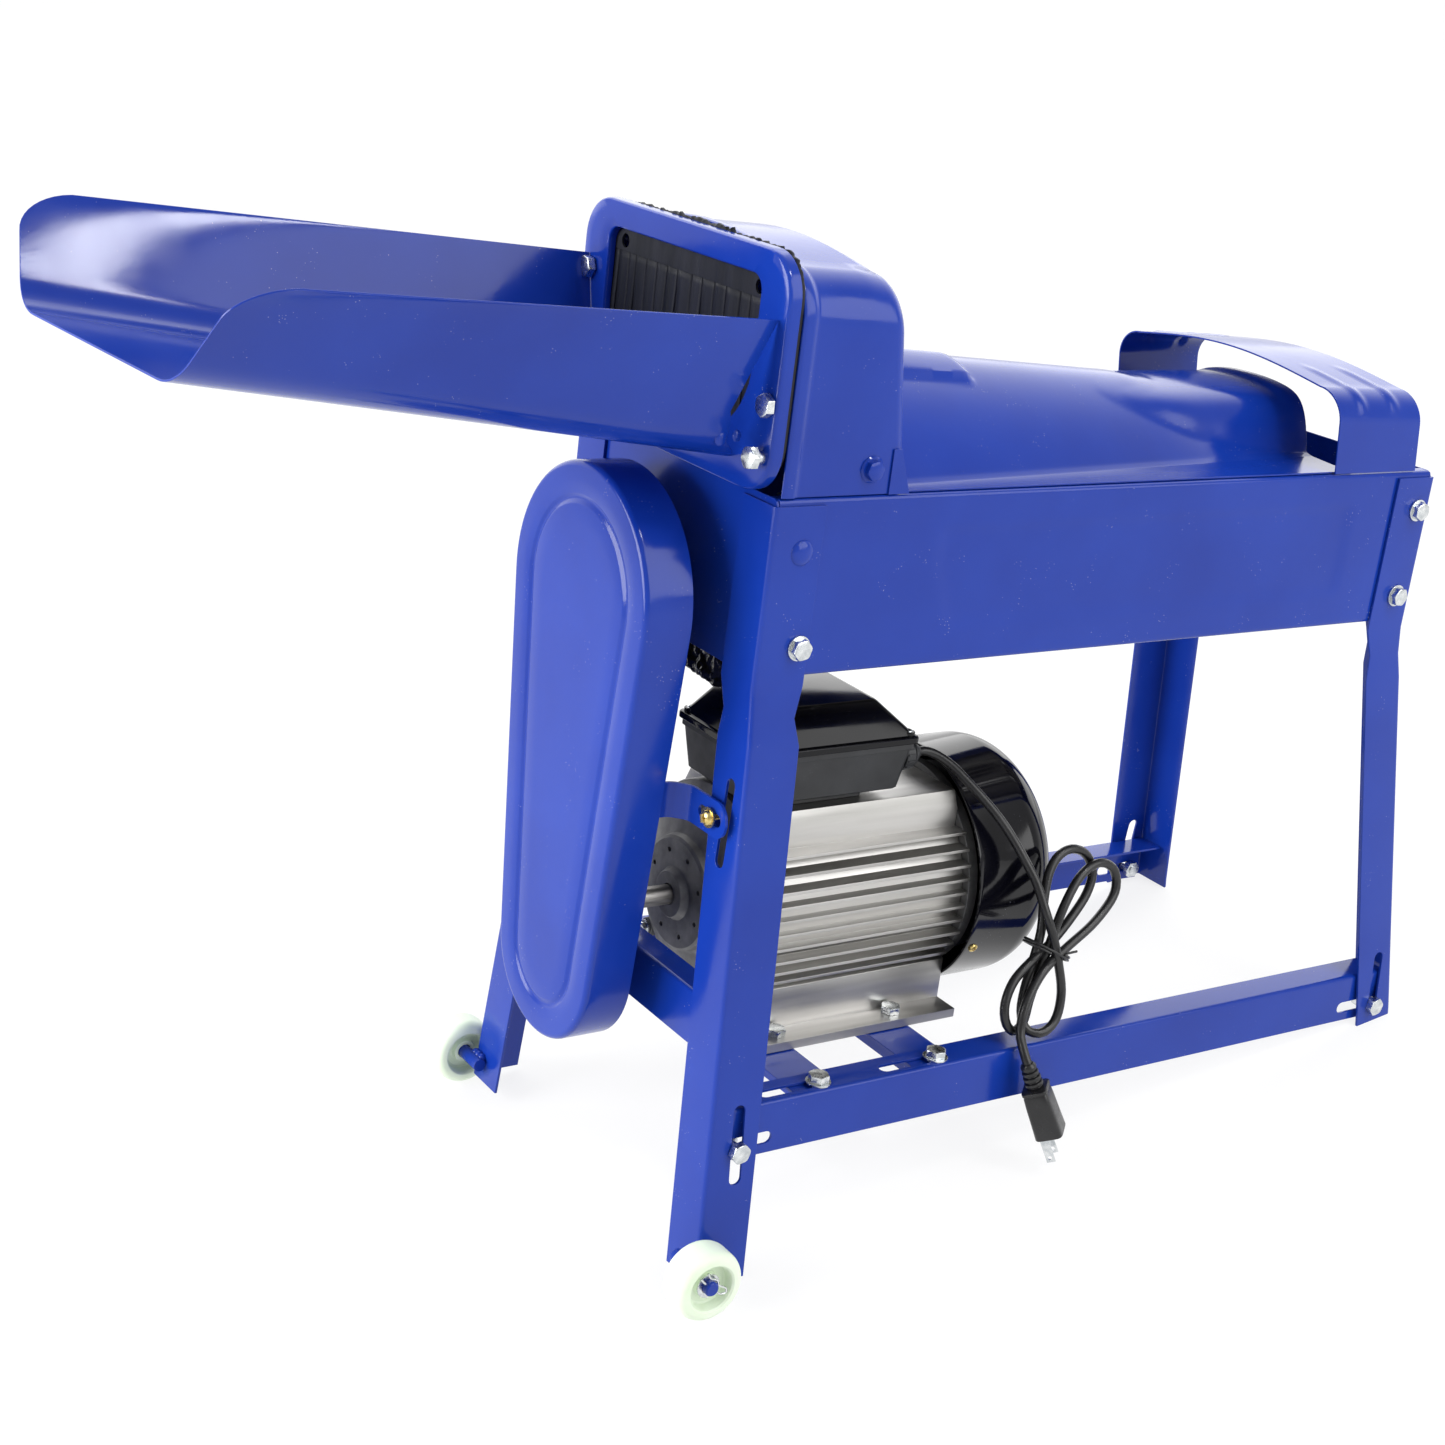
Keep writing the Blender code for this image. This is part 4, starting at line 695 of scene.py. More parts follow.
def feed_chute():
    rows = []
    stations = 36
    for i in range(stations + 1):
        t = i / stations
        section = chute_section(t)
        low, high = section[len(section) // 2][1], section[0][1]
        row = []
        for y, z in section:
            height = (z - low) / (high - low)
            inside = min(1.0, max(0.0, (height - 0.69) / 0.31))
            front = CHUTE_REACH - 0.014 * height - 0.032 * (1 - sqrt(1 - inside * inside))
            front += 0.0055 + 0.0095 * y / section[-1][0]
            root = chute_root(y * 0.1102 / (0.1102 + 0.0333 * t), (z - 0.0525 * t)
                              if y < 0 else z) if i < 3 else CHUTE_ROOT
            base = root + (CHUTE_ROOT - root) * (i / 3 if i < 3 else 1)
            x = base - (front + CHUTE_ROOT) * t if i else root
            row.append((x, y, z))
        rows.append(row)
    put(skin("chute_pressing", rows, inward=False), "blue_paint", nodes="feed_chute")
    blobs = bmesh.new()
    for spot, size in (((-0.0300, -0.0925, 0.0330), 0.0042), ((-0.0215, -0.0965, 0.0350), 0.0030),
                       ((-0.0160, 0.0905, 0.0260), 0.0036)):
        bmesh.ops.create_uvsphere(blobs, u_segments=20, v_segments=12, radius=size,
                                  matrix=moved(*spot) @ Matrix.Diagonal((1.0, 0.45, 1.25, 1)))
    put(eased(from_bmesh("chute_welds", blobs)), "blue_paint")
    front = (-1, 0, 0)
    bolts("chute_bolts", "zinc_steel", [((-0.0165, -0.1100, 0.0250), front),
                                        ((-0.0126, -0.1125, 0.0570), front),
                                        ((-0.0126, 0.1062, 0.0990), front),
                                        ((-0.0126, 0.1085, 0.0420), front)],
          washer=0.0, shank=0.012)


def frame_opening():
    return (rounded_rectangle(-0.119, 0.119, 0.0012, 0.1462, 0.028, 12),
            rounded_rectangle(-0.088, 0.088, 0.026, 0.1290, 0.010, 12, 0.055))


def feed_frame():
    """Pressed frame: folded rim outside, flat face, and a rim turned in round the opening."""
    outer, inner = frame_opening()
    rows = []
    for x, share in ((-0.0022, 0), (-0.0076, 0), (-0.0094, 0.010), (-0.0106, 0.032), (-0.0112, 0.070),
                     (-0.0112, 0.30),
                     (-0.0112, 0.60), (-0.0112, 0.93), (-0.0106, 0.975), (-0.0092, 1.0), (-0.0058, 1.0)):
        rows.append([(x, y, z) for y, z in mix(outer, inner, share)])
    put(skin("frame_pressing", rows, around=True), "blue_paint", nodes="feed_frame")


def resampled(outline, spacing):
    """The closed outline with points at an even spacing."""
    loop = [Vector(p) for p in outline] + [Vector(outline[0])]
    made, carry = [], 0.0
    for a, b in zip(loop, loop[1:]):
        length = (b - a).length
        while carry < length:
            made.append(tuple(a + (b - a) * (carry / length)))
            carry += spacing
        carry -= length
    return made


def hood_seal():
    """Foam strip squeezed between frame and hood, torn ragged along the top."""
    path = resampled(rounded_rectangle(-0.1150, 0.1150, 0.0045, 0.1445, 0.027), 0.0016)
    middle = Vector((0, 0.075))
    rings = []
    for y, z in path:
        out = (Vector((y, z)) - middle).normalized()
        torn = ramp(z, 0.120, 0.140) * ramp(-y, -0.10, -0.04)
        rough = noise.fractal(Vector((y * 260, z * 260, 3.0)), 0.6, 2.0, 3)
        grow = 0.0012 + torn * (0.0016 + 0.0024 * rough)
        tilt = torn * 0.0016 * noise.noise(Vector((y * 190, 5.0, z * 190)))
        ring = []
        for x, reach in ((-0.0018, 0.0), (-0.0022, grow * 0.5), (-0.0012 + tilt, grow), (0.0008 + tilt, grow),
                         (0.0022, grow * 0.4), (0.0018, -0.0060), (-0.0018, -0.0060)):
            point = Vector((y, z)) + out * reach
            ring.append((x, point.x, point.y))
        rings.append(ring)
    shape = bmesh.new()
    add_loop(shape, rings)
    obj = from_bmesh("seal_strip", shape)
    obj.data.shade_smooth()
    put(obj, "black_rubber", nodes="hood_seal")


def rubber_curtain():
    """Curtain with a pierced top band and slit strips that hang a little apart."""
    top = prism("curtain_band", [(-0.096, -0.017), (0.096, -0.017), (0.096, 0.003), (-0.096, 0.003)],
                -0.0009, 0.0009)
    top = pierced(top, [(slot_shape(0.0092, 0.0090, 0.02), moved(y, -0.0105, 0)) for y in (-0.079, 0.077)])
    hinge = moved(-0.0045, 0, 0.1315)
    put(eased(top, 0.0002), "black_rubber", "curtain", "rubber_curtain", place=hinge @ CROSS_PLANE)
    shape = bmesh.new()
    edges = [-0.096, -0.084, -0.071, -0.060, -0.044, -0.031, -0.017, -0.005, 0.012, 0.024, 0.036, 0.049,
             0.062, 0.070,
             0.083, 0.096]
    for k, (left, right) in enumerate(zip(edges, edges[1:])):
        sway = 0.0011 * (1 if k % 2 else -1) + 0.0012 * noise.noise(Vector((k * 1.7, 0, 0)))
        slant = 0.0035 * noise.noise(Vector((k * 2.3, 4.0, 0)))
        length = 0.1035 - 0.004 * abs(noise.noise(Vector((k * 3.1, 9.0, 0)))) - (0.030 if k == 4 else 0)
        rows = []
        for i in range(15):
            t = i / 14
            row = []
            for j in range(5):
                s = j / 4
                y = left + (right - left) * (0.02 + 0.96 * s) + slant * t * t
                bow = 0.0009 * sin(pi * s) * (1 if k % 3 else -1) * t
                row.append((sway * t ** 1.4 + bow + 0.0006 * t * sin(9 * t + k), y,
                            -0.0155 - (length - 0.0155) * t))
            rows.append(row)
        bridged(shape, rows, False)
    strips = from_bmesh("curtain_strips", shape)
    wall = strips.modifiers.new("wall", "SOLIDIFY")
    wall.thickness = 0.0012
    wall.offset = 0
    strips.data.shade_smooth()
    put(strips, "black_rubber", "curtain", place=hinge)


feed_chute()
feed_frame()
hood_seal()
rubber_curtain()

# ---------------------------------------------------------------- feed hood, cover and outlet guard

HUMP_START = FEED_DEPTH + 0.0006
HUMP_END = 0.505
COVER_LIP = 0.0017


def arch_profile(half, side, top, corner, lift=0.0, count=14, crown=0.010, across=17):
    shoulder = top - crown
    left = [(-half, lift + (side - lift) * i / 6) for i in range(6)]
    left += [(-half + corner - corner * cos(a), shoulder - corner + corner * sin(a))
             for a in quarter(count - 1)]
    inside = half - corner
    middle = [(y, shoulder + crown * cos(pi * y / (2 * inside)))
              for y in [-inside + 2 * inside * i / (across - 1) for i in range(1, across - 1)]]
    return left + middle + [(-y, z) for y, z in left[::-1]]


def hump_half(x):
    return 0.104 - 0.030 * (x - HUMP_START) / (HUMP_END - HUMP_START)


def cover_z(x, y):
    """Height of the cover's skin: a wide hump that sinks into a flat-topped duct towards the outlet."""
    t = (x - HUMP_START) / (HUMP_END - HUMP_START)
    half = hump_half(x)
    ratio = min(1.0, abs(y) / half)
    hump = (0.068 - 0.030 * t) * (1 - ratio ** 2.2) ** 1.15
    hump *= 1 - 0.55 * ramp(x, 0.36, 0.50)
    duct_half = 0.034 + 0.030 * ramp(x, 0.24, 0.40)
    inner = min(1.0, abs(y + 0.004) / duct_half)
    duct = (0.0450 - 0.0085 * inner ** 2) * (1 - inner ** 8) ** 0.9 * ramp(x, 0.20, 0.33)
    duct += 0.0022 * (1 - inner ** 5) * ramp(x, 0.485, 0.497)
    fillet = 260.0
    blend = max(hump, duct) + 0.0012 * max(0.0, 1 - abs(hump - duct) * fillet)
    pad = ramp(0.212 - x, 0.0, 0.005) * ramp(0.0185 - abs(y + 0.022), 0.0, 0.004)
    return COVER_LIP + blend + 0.0045 * pad


def top_cover():
    edge = BOX_HALF - 0.0035
    rows = []
    stations = 124
    for i in range(stations + 1):
        t = i / stations
        x = HUMP_START + (HUMP_END - HUMP_START) * t
        half = hump_half(x)
        spread = [-half * cos(pi * k / 90) for k in range(91)]
        profile = [(-edge, COVER_LIP), (-(edge + half) / 2, COVER_LIP)] + [(y, cover_z(x, y)) for y in spread]
        profile += [((edge + half) / 2, COVER_LIP), (edge, COVER_LIP)]
        rows.append([(x - HOOD_LEAN * z * (1 - t), y, z) for y, z in profile])
    put(skin("cover_pressing", rows), "blue_paint", nodes="top_cover")


def rear_edge(z):
    return FEED_DEPTH - HOOD_LEAN * z


def feed_hood():
    """Hood with a raised bead round its front, flat sides and a rounded rear edge."""
    rows = []
    for x, grow in ((0.0026, -0.0012), (0.0030, -0.0004), (0.0042, 0.0002), (0.0060, 0.0003),
                    (0.0100, 0.0003),
                    (0.0120, 0.0), (0.0132, -0.0008), (0.0146, -0.0014), (0.0165, -0.0015), (0.035, -0.0015),
                    (0.055, -0.0015), (0.068, -0.0015)):
        top = FEED_TOP + grow - 0.004 * (x / 0.08)
        rows.append([(x, y, z) for y, z in arch_profile(BOX_HALF + grow, 0.05, top, 0.030, 0.0006)])
    outer = arch_profile(BOX_HALF - 0.0015, 0.05, FEED_TOP - 0.0055, 0.030, 0.0006)
    inner = arch_profile(BOX_HALF - 0.0125, 0.05, FEED_TOP - 0.0165, 0.026, 0.0006)
    for a in quarter(7):
        ring = mix(outer, inner, 1 - cos(a))
        rows.append([(rear_edge(z) - 0.011 + 0.011 * sin(a), y, z) for y, z in ring])
    half = hump_half(HUMP_START) - 0.001
    opening = []
    for i in range(len(outer)):
        y = -half * cos(pi * i / (len(outer) - 1))
        opening.append((y, max(0.0006, cover_z(HUMP_START, y) - 0.0027)))
    for share in (0.35, 0.7, 1.0):
        rows.append([(rear_edge(z), y, z) for y, z in mix(inner, opening, share)])
    put(skin("hood_pressing", rows), "blue_paint", nodes="feed_hood")
    tab = [(0.0835, 0.0004), (0.0998, 0.0004), (0.0895, 0.0290), (0.0835, 0.0290)]
    for side, way in SIDES:
        plate = prism("hood_tab_" + side, tab[:: -way], 0, 0.0012, 0.0002)
        put(plate, "blue_paint", place=moved(0, -0.1152 if way < 0 else 0.1164, 0) @ SIDE_PLANE)
    bolts("hood_bolts", "blue_paint", [((0.0690, -0.1153, 0.0165), (0, -1, 0)),
                                       ((0.0690, 0.1153, 0.0165), (0, 1, 0))],
          radius=0.0066, height=0.0048, washer=0.0, flange=0.0088, shank=0.006)


def outlet_hood():
    """Arched guard with two pressed ribs over each shoulder."""
    rows = []
    for i in range(33):
        t = i / 32
        profile = arch_profile(BOX_HALF - 0.0005, 0.020, 0.070 - 0.003 * t, 0.022, 0.0006, 16, 0.010, 29)
        rib = sum(max(0.0, 1 - ((t - at) / 0.075) ** 2) ** 2 for at in (0.30, 0.70))
        row = []
        for y, z in profile:
            window = ramp(abs(y), 0.052, 0.066) * ramp(z, 0.040, 0.052)
            lift = 0.0011 * rib * window
            row.append((0.4848 + 0.0846 * t - 0.15 * z, y + (lift * 0.5 if y > 0 else -lift * 0.5), z + lift))
        rows.append(row)
    put(skin("guard_pressing", rows), "blue_paint", nodes="outlet_hood")
    bolts("guard_bolts", "blue_paint", [((0.512, 0.1140, 0.0150), (0, -1, 0)),
                                        ((0.512, -0.1140, 0.0150), (0, 1, 0))],
          radius=0.0060, height=0.0045, washer=0.0, flange=0.0080, shank=0.0015)


top_cover()
feed_hood()
outlet_hood()

# ---------------------------------------------------------------- box


def side_panels():
    """Side walls with rounded lips and a shallow pressed panel."""
    levels = [-0.006 - 0.0025 * i for i in range(42)]
    xs = [0.0018 + (BOX_LENGTH - 0.0036) * i / 110 for i in range(111)]
    for side, way in SIDES:
        def wall(x, z):
            ends = ramp(x, 0.128 + 0.35 * max(0, -0.045 - z),
                        0.136 + 0.35 * max(0, -0.045 - z)) * ramp(0.512 - x, 0, 0.008)
            inside = ends * ramp(-0.020 - z, 0.0, 0.009) * ramp(z + 0.094, 0.0, 0.012)
            return (BOX_HALF - 0.0009 * inside) * way
        rows = []
        lip = BOX_HALF - 0.010
        for d, z in ((lip, 0.0), (BOX_HALF - 0.003, 0.0), (BOX_HALF - 0.0012, -0.0004),
                     (BOX_HALF - 0.0003, -0.0013),
                     (BOX_HALF, -0.003)):
            rows.append([(x, d * way, z) for x in xs])
        rows += [[(x, wall(x, z), z) for x in xs] for z in levels]
        for d, z in ((BOX_HALF, -BOX_HEIGHT + 0.003), (BOX_HALF - 0.0003, -BOX_HEIGHT + 0.0013),
                     (BOX_HALF - 0.0012, -BOX_HEIGHT + 0.0004), (BOX_HALF - 0.003, -BOX_HEIGHT),
                     (lip, -BOX_HEIGHT)):
            rows.append([(x, d * way, z) for x in xs])
        put(skin("panel_pressing_" + side, rows), "blue_paint", nodes="side_panel_" + side)


def panel_bolts():
    """Leg bolts: plated ones and painted rounded ones, on both sides."""
    plated, painted = [], []
    for way in (-1, 1):
        face = (BOX_HALF + GAP + ANGLE + 0.0001) * way
        out = (0, way, 0)
        plated += [((0.0276, face, -0.0945), out), ((0.5771, face, -0.0285), out),
                   ((0.5735, face, -0.0939), out)]
        painted += [((0.0212, face - 0.0008 * way, -0.0332), out)]
    bolts("leg_bolts", "zinc_steel", plated, radius=0.0072, height=0.0050, washer=0.0082, shank=0.008)
    shape = bmesh.new()
    for spot, way in painted:
        add_dome(shape, moved(*spot) @ facing(way), 0.0085, 0.0036, quarter(7)[:-1])
    put(eased(from_bmesh("leg_rivets", shape)), "blue_paint")


def apron():
    """Crinkled black film under the front end of the box."""
    shape = bmesh.new()
    plane = 0.0098
    rows = []
    for i in range(19):
        t = i / 18
        row = []
        for j in range(121):
            y = -0.088 + 0.176 * j / 120
            fold = noise.fractal(Vector((y * 75, t * 2.2, 1.0)), 0.7, 2.1, 4)
            row.append((plane + 0.0042 * fold * (0.25 + 0.75 * t), y,
                        -BOX_HEIGHT - 0.0018 - (0.0208 + 0.0015 * noise.noise(Vector((y * 60, 7, 0)))) * t))
        rows.append(row)
    bridged(shape, rows, False)
    obj = from_bmesh("apron_film", shape)
    wall = obj.modifiers.new("wall", "SOLIDIFY")
    wall.thickness = 0.0006
    obj.data.shade_smooth()
    put(obj, "crinkled_film", nodes="discharge_apron")


side_panels()
panel_bolts()
apron()
refine("end_plate_front", "blue_paint", width=0.0003)
refine("end_plate_rear", "blue_paint", width=0.0003)


def concave():
    """Trough of round bars between two end straps and its two flat wings."""
    wing = 0.1056
    radius = 0.0536
    shape = bmesh.new()
    count = 15
    for i in range(count):
        a = radians(180 + 180 * i / (count - 1))
        spot = moved(0.022, radius * cos(a), -0.078 + radius * sin(a)) @ ALONG_X
        add_rod(shape, 0.0023, 0, 0.478, spot, 12)
    for x in (0.024, 0.140, 0.260, 0.380, 0.496):
        rows = [arc(0, -0.078, r, 180, 360, 33) for r in (radius, radius + 0.0035)]
        for k in range(32):
            corners = [rows[0][k], rows[0][k + 1], rows[1][k + 1], rows[1][k]]
            add_solid(shape, [[(end, y, z) for y, z in corners] for end in (x - 0.004, x + 0.004)])
    for way in (-1, 1):
        add_box(shape, (0.478, wing - radius - 0.002, 0.0012),
                moved(0.261, way * (wing + radius + 0.002) / 2, -0.078))
    obj = from_bmesh("screen_bars", shape)
    obj.data.shade_smooth()
    obj.data.set_sharp_from_angle(angle=radians(CREASE))
    put(obj, "bare_steel", nodes="concave_screen")


concave()

# ---------------------------------------------------------------- stand

LEG_OUT = BOX_HALF + GAP + ANGLE
RAIL_TOP = -0.4005
RAIL_HALF = 0.1422
BAR_BOLT_HALF = 0.1315
BARS = (0.080, 0.180)
FOOT_BOLTS = (0.088, 0.188)
SLOT = 0.009
LEG_SIDE = 0.038
LEG_END = 0.036


def rising(stations, count):
    """Stations with more of them between, by straight lines."""
    made = []
    for a, b in zip(stations, stations[1:]):
        made += [tuple(p + (q - p) * i / count for p, q in zip(a, b)) for i in range(count)]
    return made + [stations[-1]]


def leg_rows(stations, inward, way):
    """Sections of a leg's angle iron at (x, y, z, pinch) stations of its corner."""
    return [filleted([(x + inward * (LEG_SIDE - pinch), y * way, z), (x, y * way, z),
                      (x, (y - LEG_END + pinch) * way, z)], 0.0034, 6) for x, y, z,
            pinch in rising(stations, 4)]


def legs():
    kink, low = -0.120, -0.140
    x = -GAP - ANGLE
    for side, way in SIDES:
        name = "front_leg_" + side
        stations = ((x, LEG_OUT, -0.004, 0), (x - 0.0005, LEG_OUT, kink, 0),
                    (x - 0.0010, LEG_OUT + 0.003, low, 0.005),
                    (x - 0.0017, LEG_OUT + 0.006, low - 0.018, 0), (-0.0172, 0.158, -0.5195, 0))
        obj = pierced(skin(name + "_iron", leg_rows(stations, 1, way), ANGLE), (
            (slot_shape(0.056, SLOT, 0.03, True), moved(0.0085, 0.150 * way, -0.4235) @ SIDE_PLANE),
            (slot_shape(0.060, SLOT, 0.03, True), moved(-0.006, 0.1115 * way, -0.2107) @ CROSS_PLANE)))
        put(eased(obj, 0.0003, 40), "blue_paint", nodes=name)
    x = BOX_LENGTH + GAP + ANGLE
    for side, way in SIDES:
        stations = ((x, LEG_OUT, -0.004, 0), (x, LEG_OUT, kink, 0), (x + 0.001, LEG_OUT + 0.002, low, 0.005),
                    (x + 0.004, LEG_OUT + 0.005, low - 0.018, 0), (0.6388, 0.1475, -0.4300, 0))
        rows = leg_rows(stations, -1, way)
        base = []
        for point in rows[-1]:
            drop = ((CHASSIS @ Vector(point)).z - 0.00005) / cos(PITCH)
            base.append(point + Vector((0.175 * drop, 0.05 * way * drop, -drop)))
        rows.append(base)
        obj = pierced(skin("rear_leg_iron_" + side, rows, ANGLE), (
            (slot_shape(0.048, SLOT, 0.03, True), moved(0.6165, 0.144 * way, -0.4070) @ SIDE_PLANE),))
        put(eased(obj, 0.0003, 40), "blue_paint", nodes="rear_leg_" + side)


def iron(name, ends, profile, cuts, along="x"):
    """An angle iron with a rounded bend, between two ends along x or y."""
    rows = []
    for k in range(13):
        at = ends[0] + (ends[1] - ends[0]) * k / 12
        corner = [(at, a, b) if along == "x" else (a, at, b) for a, b in profile]
        rows.append(filleted(corner, 0.0032, 6))
    obj = skin(name + "_iron", rows, ANGLE)
    if cuts:
        obj = eased(pierced(obj, cuts), 0.0003, 40)
    put(obj, "blue_paint", nodes=name)


def rails():
    for side, way in SIDES:
        face = RAIL_HALF * way
        profile = ((face, RAIL_TOP - 0.038), (face, RAIL_TOP), (face - 0.025 * way, RAIL_TOP))
        cuts = [(slot_shape(length, SLOT, 0.02), moved(x, face, RAIL_TOP - 0.0265) @ SIDE_PLANE)
                for x, length in ((0.0155, 0.050), (0.6030, 0.042))]
        cuts += [(slot_shape(0.056, SLOT, 0.02), moved(x, BAR_BOLT_HALF * way, RAIL_TOP))
                 for x in (0.062, 0.162)]
        iron("long_rail_" + side, (-0.008, 0.629), profile, cuts)
    iron("front_cross_rail", (-0.130, 0.130), ((-0.0062, -0.370), (-0.0062, -0.333), (0.0138, -0.333)), (),
         "y")
    top = RAIL_TOP - ANGLE - GAP
    for name, middle, foot in (("front", BARS[0], FOOT_BOLTS[0]), ("rear", BARS[1], FOOT_BOLTS[1])):
        profile = ((middle - 0.019, top), (middle + 0.019, top), (middle + 0.019, top - 0.036))
        cuts = []
        for way in (-1, 1):
            cuts.append((slot_shape(0.0088, 0.0086, 0.02), moved(middle + 0.002, BAR_BOLT_HALF * way, top)))
            cuts.append((slot_shape(0.024, SLOT, 0.02, True), moved(foot, 0.070 * way, top)))
        iron("motor_bar_" + name, (-0.139, 0.139), profile, cuts, "y")


def leg_face(end, z):
    """How far out the face of a front or rear leg is at a height below its kink."""
    top = -0.158
    ends = {"front": (LEG_OUT + 0.006, 0.158, -0.5195), "rear": (LEG_OUT + 0.005, 0.148, -0.4420)}
    start, stop, bottom = ends[end]
    return start + (stop - start) * (z - top) / (bottom - top)


def stand_bolts():
    z = RAIL_TOP - 0.0265
    for end, x in (("front", 0.0085), ("rear", 0.6165)):
        face = leg_face(end, z) + GAP
        bolts(f"rail_bolts_{end}", "zinc_steel",
              [((x, (face + 0.0002) * way, z), (0, way, 0)) for way in (-1, 1)],
              washer=0.0, height=0.0058, shank=0.016,
              nodes=[f"rail_bolt_{end}_{side}" for side, _ in SIDES], nut=True)
    bar = [((x + 0.002, BAR_BOLT_HALF * way, RAIL_TOP + 0.0001), (0, 0, 1)) for x in BARS for way in (-1, 1)]
    bolts("bar_bolts", "zinc_steel", bar, washer=0.0088, shank=0.014, nut=True)
    foot = RAIL_TOP + 0.0050
    motor = [((x, 0.070 * way, foot + 0.0001), (0, 0, 1)) for x in FOOT_BOLTS for way in (-1, 1)]
    bolts("motor_foot_bolts", "zinc_steel", motor, washer=0.0, shank=0.018, nut=True,
          nodes=[f"motor_bolt_{a}_{b}" for a in ("front", "rear") for b in ("left", "right")])
    cross = [((-0.0041, 0.1235 * way, -0.351), (1, 0, 0)) for way in (-1, 1)]
    bolts("cross_rail_bolts", "zinc_steel", cross, washer=0.0, shank=0.006)


legs()
rails()
stand_bolts()

# ---------------------------------------------------------------- drum, belt and their cover

DRUM_Z = -0.078
MOTOR_Z = -0.312
BELT_X = -0.046
SHAFT = 0.0095
MOTOR_SHAFT = 0.007
DRUM_AXIS = moved(0, 0, DRUM_Z) @ ALONG_X
MOTOR_AXIS = moved(0, 0, MOTOR_Z) @ ALONG_X


def drive():
    front, rear, core_front, core_rear = BELT_X - 0.012, BOX_LENGTH + 0.010, 0.034, 0.556
    body = turned("drum_shell", [(0, rear), (SHAFT, rear), (SHAFT, core_rear), (0.030, core_rear),
                                 (0.030, core_front),
                                 (SHAFT, core_front), (SHAFT, front), (0, front)])
    put(body, "cast_iron", "drum", "threshing_drum", DRUM_AXIS)
    shape = bmesh.new()
    for row in range(4):
        for i in range(8):
            angle = 2 * pi * row / 4 + radians(42) * i
            x = core_front + 0.030 + (core_rear - core_front - 0.060) * (i + row / 4) / 8
            add_box(shape, (0.020, 0.008, 0.014), turn_by(angle, "Z") @ moved(0.038, 0, x))
    put(eased(from_bmesh("drum_pegs", shape), 0.0008), "bare_steel", "drum", place=DRUM_AXIS)
    for name, x in (("drum_bearing_front", 0.0110), ("drum_bearing_rear", BOX_LENGTH - 0.0110)):
        profile = [(0.026, 0.009), (0.026, 0.004), (0.0255, 0.0035), (0.0255, -0.0035), (0.026, -0.004),
                   (0.026, -0.009),
                   (0.0175, -0.009), (0.0172, -0.0078), (0.0125, -0.0078), (0.0122, -0.009),
                   (SHAFT + GAP, -0.009),
                   (SHAFT + GAP, 0.009), (0.0122, 0.009), (0.0125, 0.0078), (0.0172, 0.0078), (0.0175, 0.009)]
        put(turned(name + "_ring", profile, width=0.0002), "cast_iron", nodes=name,
            place=moved(x, 0, DRUM_Z) @ ALONG_X)
    pulleys = (("drum_pulley", 0.060, SHAFT + GAP, "drum", DRUM_AXIS),
               ("motor_pulley", 0.030, MOTOR_SHAFT + GAP, "motor_shaft", MOTOR_AXIS))
    for name, radius, bore, body, place in pulleys:
        web = 0.62 * radius
        hub = bore + 0.008
        profile = [(radius, 0.009), (radius, 0.0065), (radius - 0.010, 0.0042), (radius - 0.010, -0.0042),
                   (radius, -0.0065),
                   (radius, -0.009)]
        if radius > 0.05:
            profile += [(radius - 0.014, -0.009), (web + 0.006, -0.004), (hub + 0.003, -0.004), (hub, -0.009)]
        profile += [(bore, -0.009), (bore, 0.009)]
        if radius > 0.05:
            profile += [(hub, 0.009), (hub + 0.003, 0.004), (web + 0.006, 0.004), (radius - 0.014, 0.009)]
        put(turned(name + "_wheel", profile, 96), "cast_iron", body, name,
            place @ moved(0, 0, BELT_X))


def belt_outline(offset, count):
    big, small = 0.050 + offset, 0.020 + offset
    lean = 90 - acos((big - small) / (DRUM_Z - MOTOR_Z)) * 180 / pi
    return (arc(0, DRUM_Z, big, -lean, 180 + lean, count) +
            arc(0, MOTOR_Z, small, 180 + lean, 360 - lean, count // 2))


def v_belt():
    ring = []
    for offset, half in ((0.0006, 0.0034), (0.0062, 0.0048), (0.0070, 0.0045)):
        ring.append([(BELT_X - half, y, z) for y, z in belt_outline(offset, 60)])
    for offset, half in ((0.0070, 0.0045), (0.0062, 0.0048), (0.0006, 0.0034)):
        ring.append([(BELT_X + half, y, z) for y, z in belt_outline(offset, 60)])
    shape = bmesh.new()
    add_loop(shape, ring)
    put(eased(from_bmesh("belt_loop", shape), 0.0002), "black_rubber", nodes="v_belt")


def teardrop(inset):
    span = 0.252
    lean = asin(0.023 / span) * 180 / pi
    top = arc(0, -0.088, 0.083 - inset, -lean, 180 + lean, 44)
    low = arc(0, -0.340, 0.060 - inset, 180 + lean, 360 - lean, 32)
    return top + low


def belt_cover():
    """Deep pressed pan with a rounded rim, and a stepped panel pressed into its face."""
    face = -0.063
    rows = [(-0.0285, 0.0), (-0.0400, 0.0), (-0.0520, 0.0)]
    rows += [(face + 0.004 - 0.004 * sin(a), 0.004 - 0.004 * cos(a)) for a in quarter(7)]
    rows += [(face, 0.0120), (face, 0.0205), (face + 0.0004, 0.0215), (face + 0.0013, 0.0228),
             (face + 0.0015, 0.0238),
             (face + 0.0012, 0.0250), (face + 0.0002, 0.0266), (face - 0.0001, 0.0280),
             (face - 0.0001, 0.0400)]
    made = [[(x, y, z) for y, z in teardrop(inset)] for x, inset in rows]
    put(skin("cover_pan", made, around=True, cap=True), "blue_paint", nodes="belt_cover")


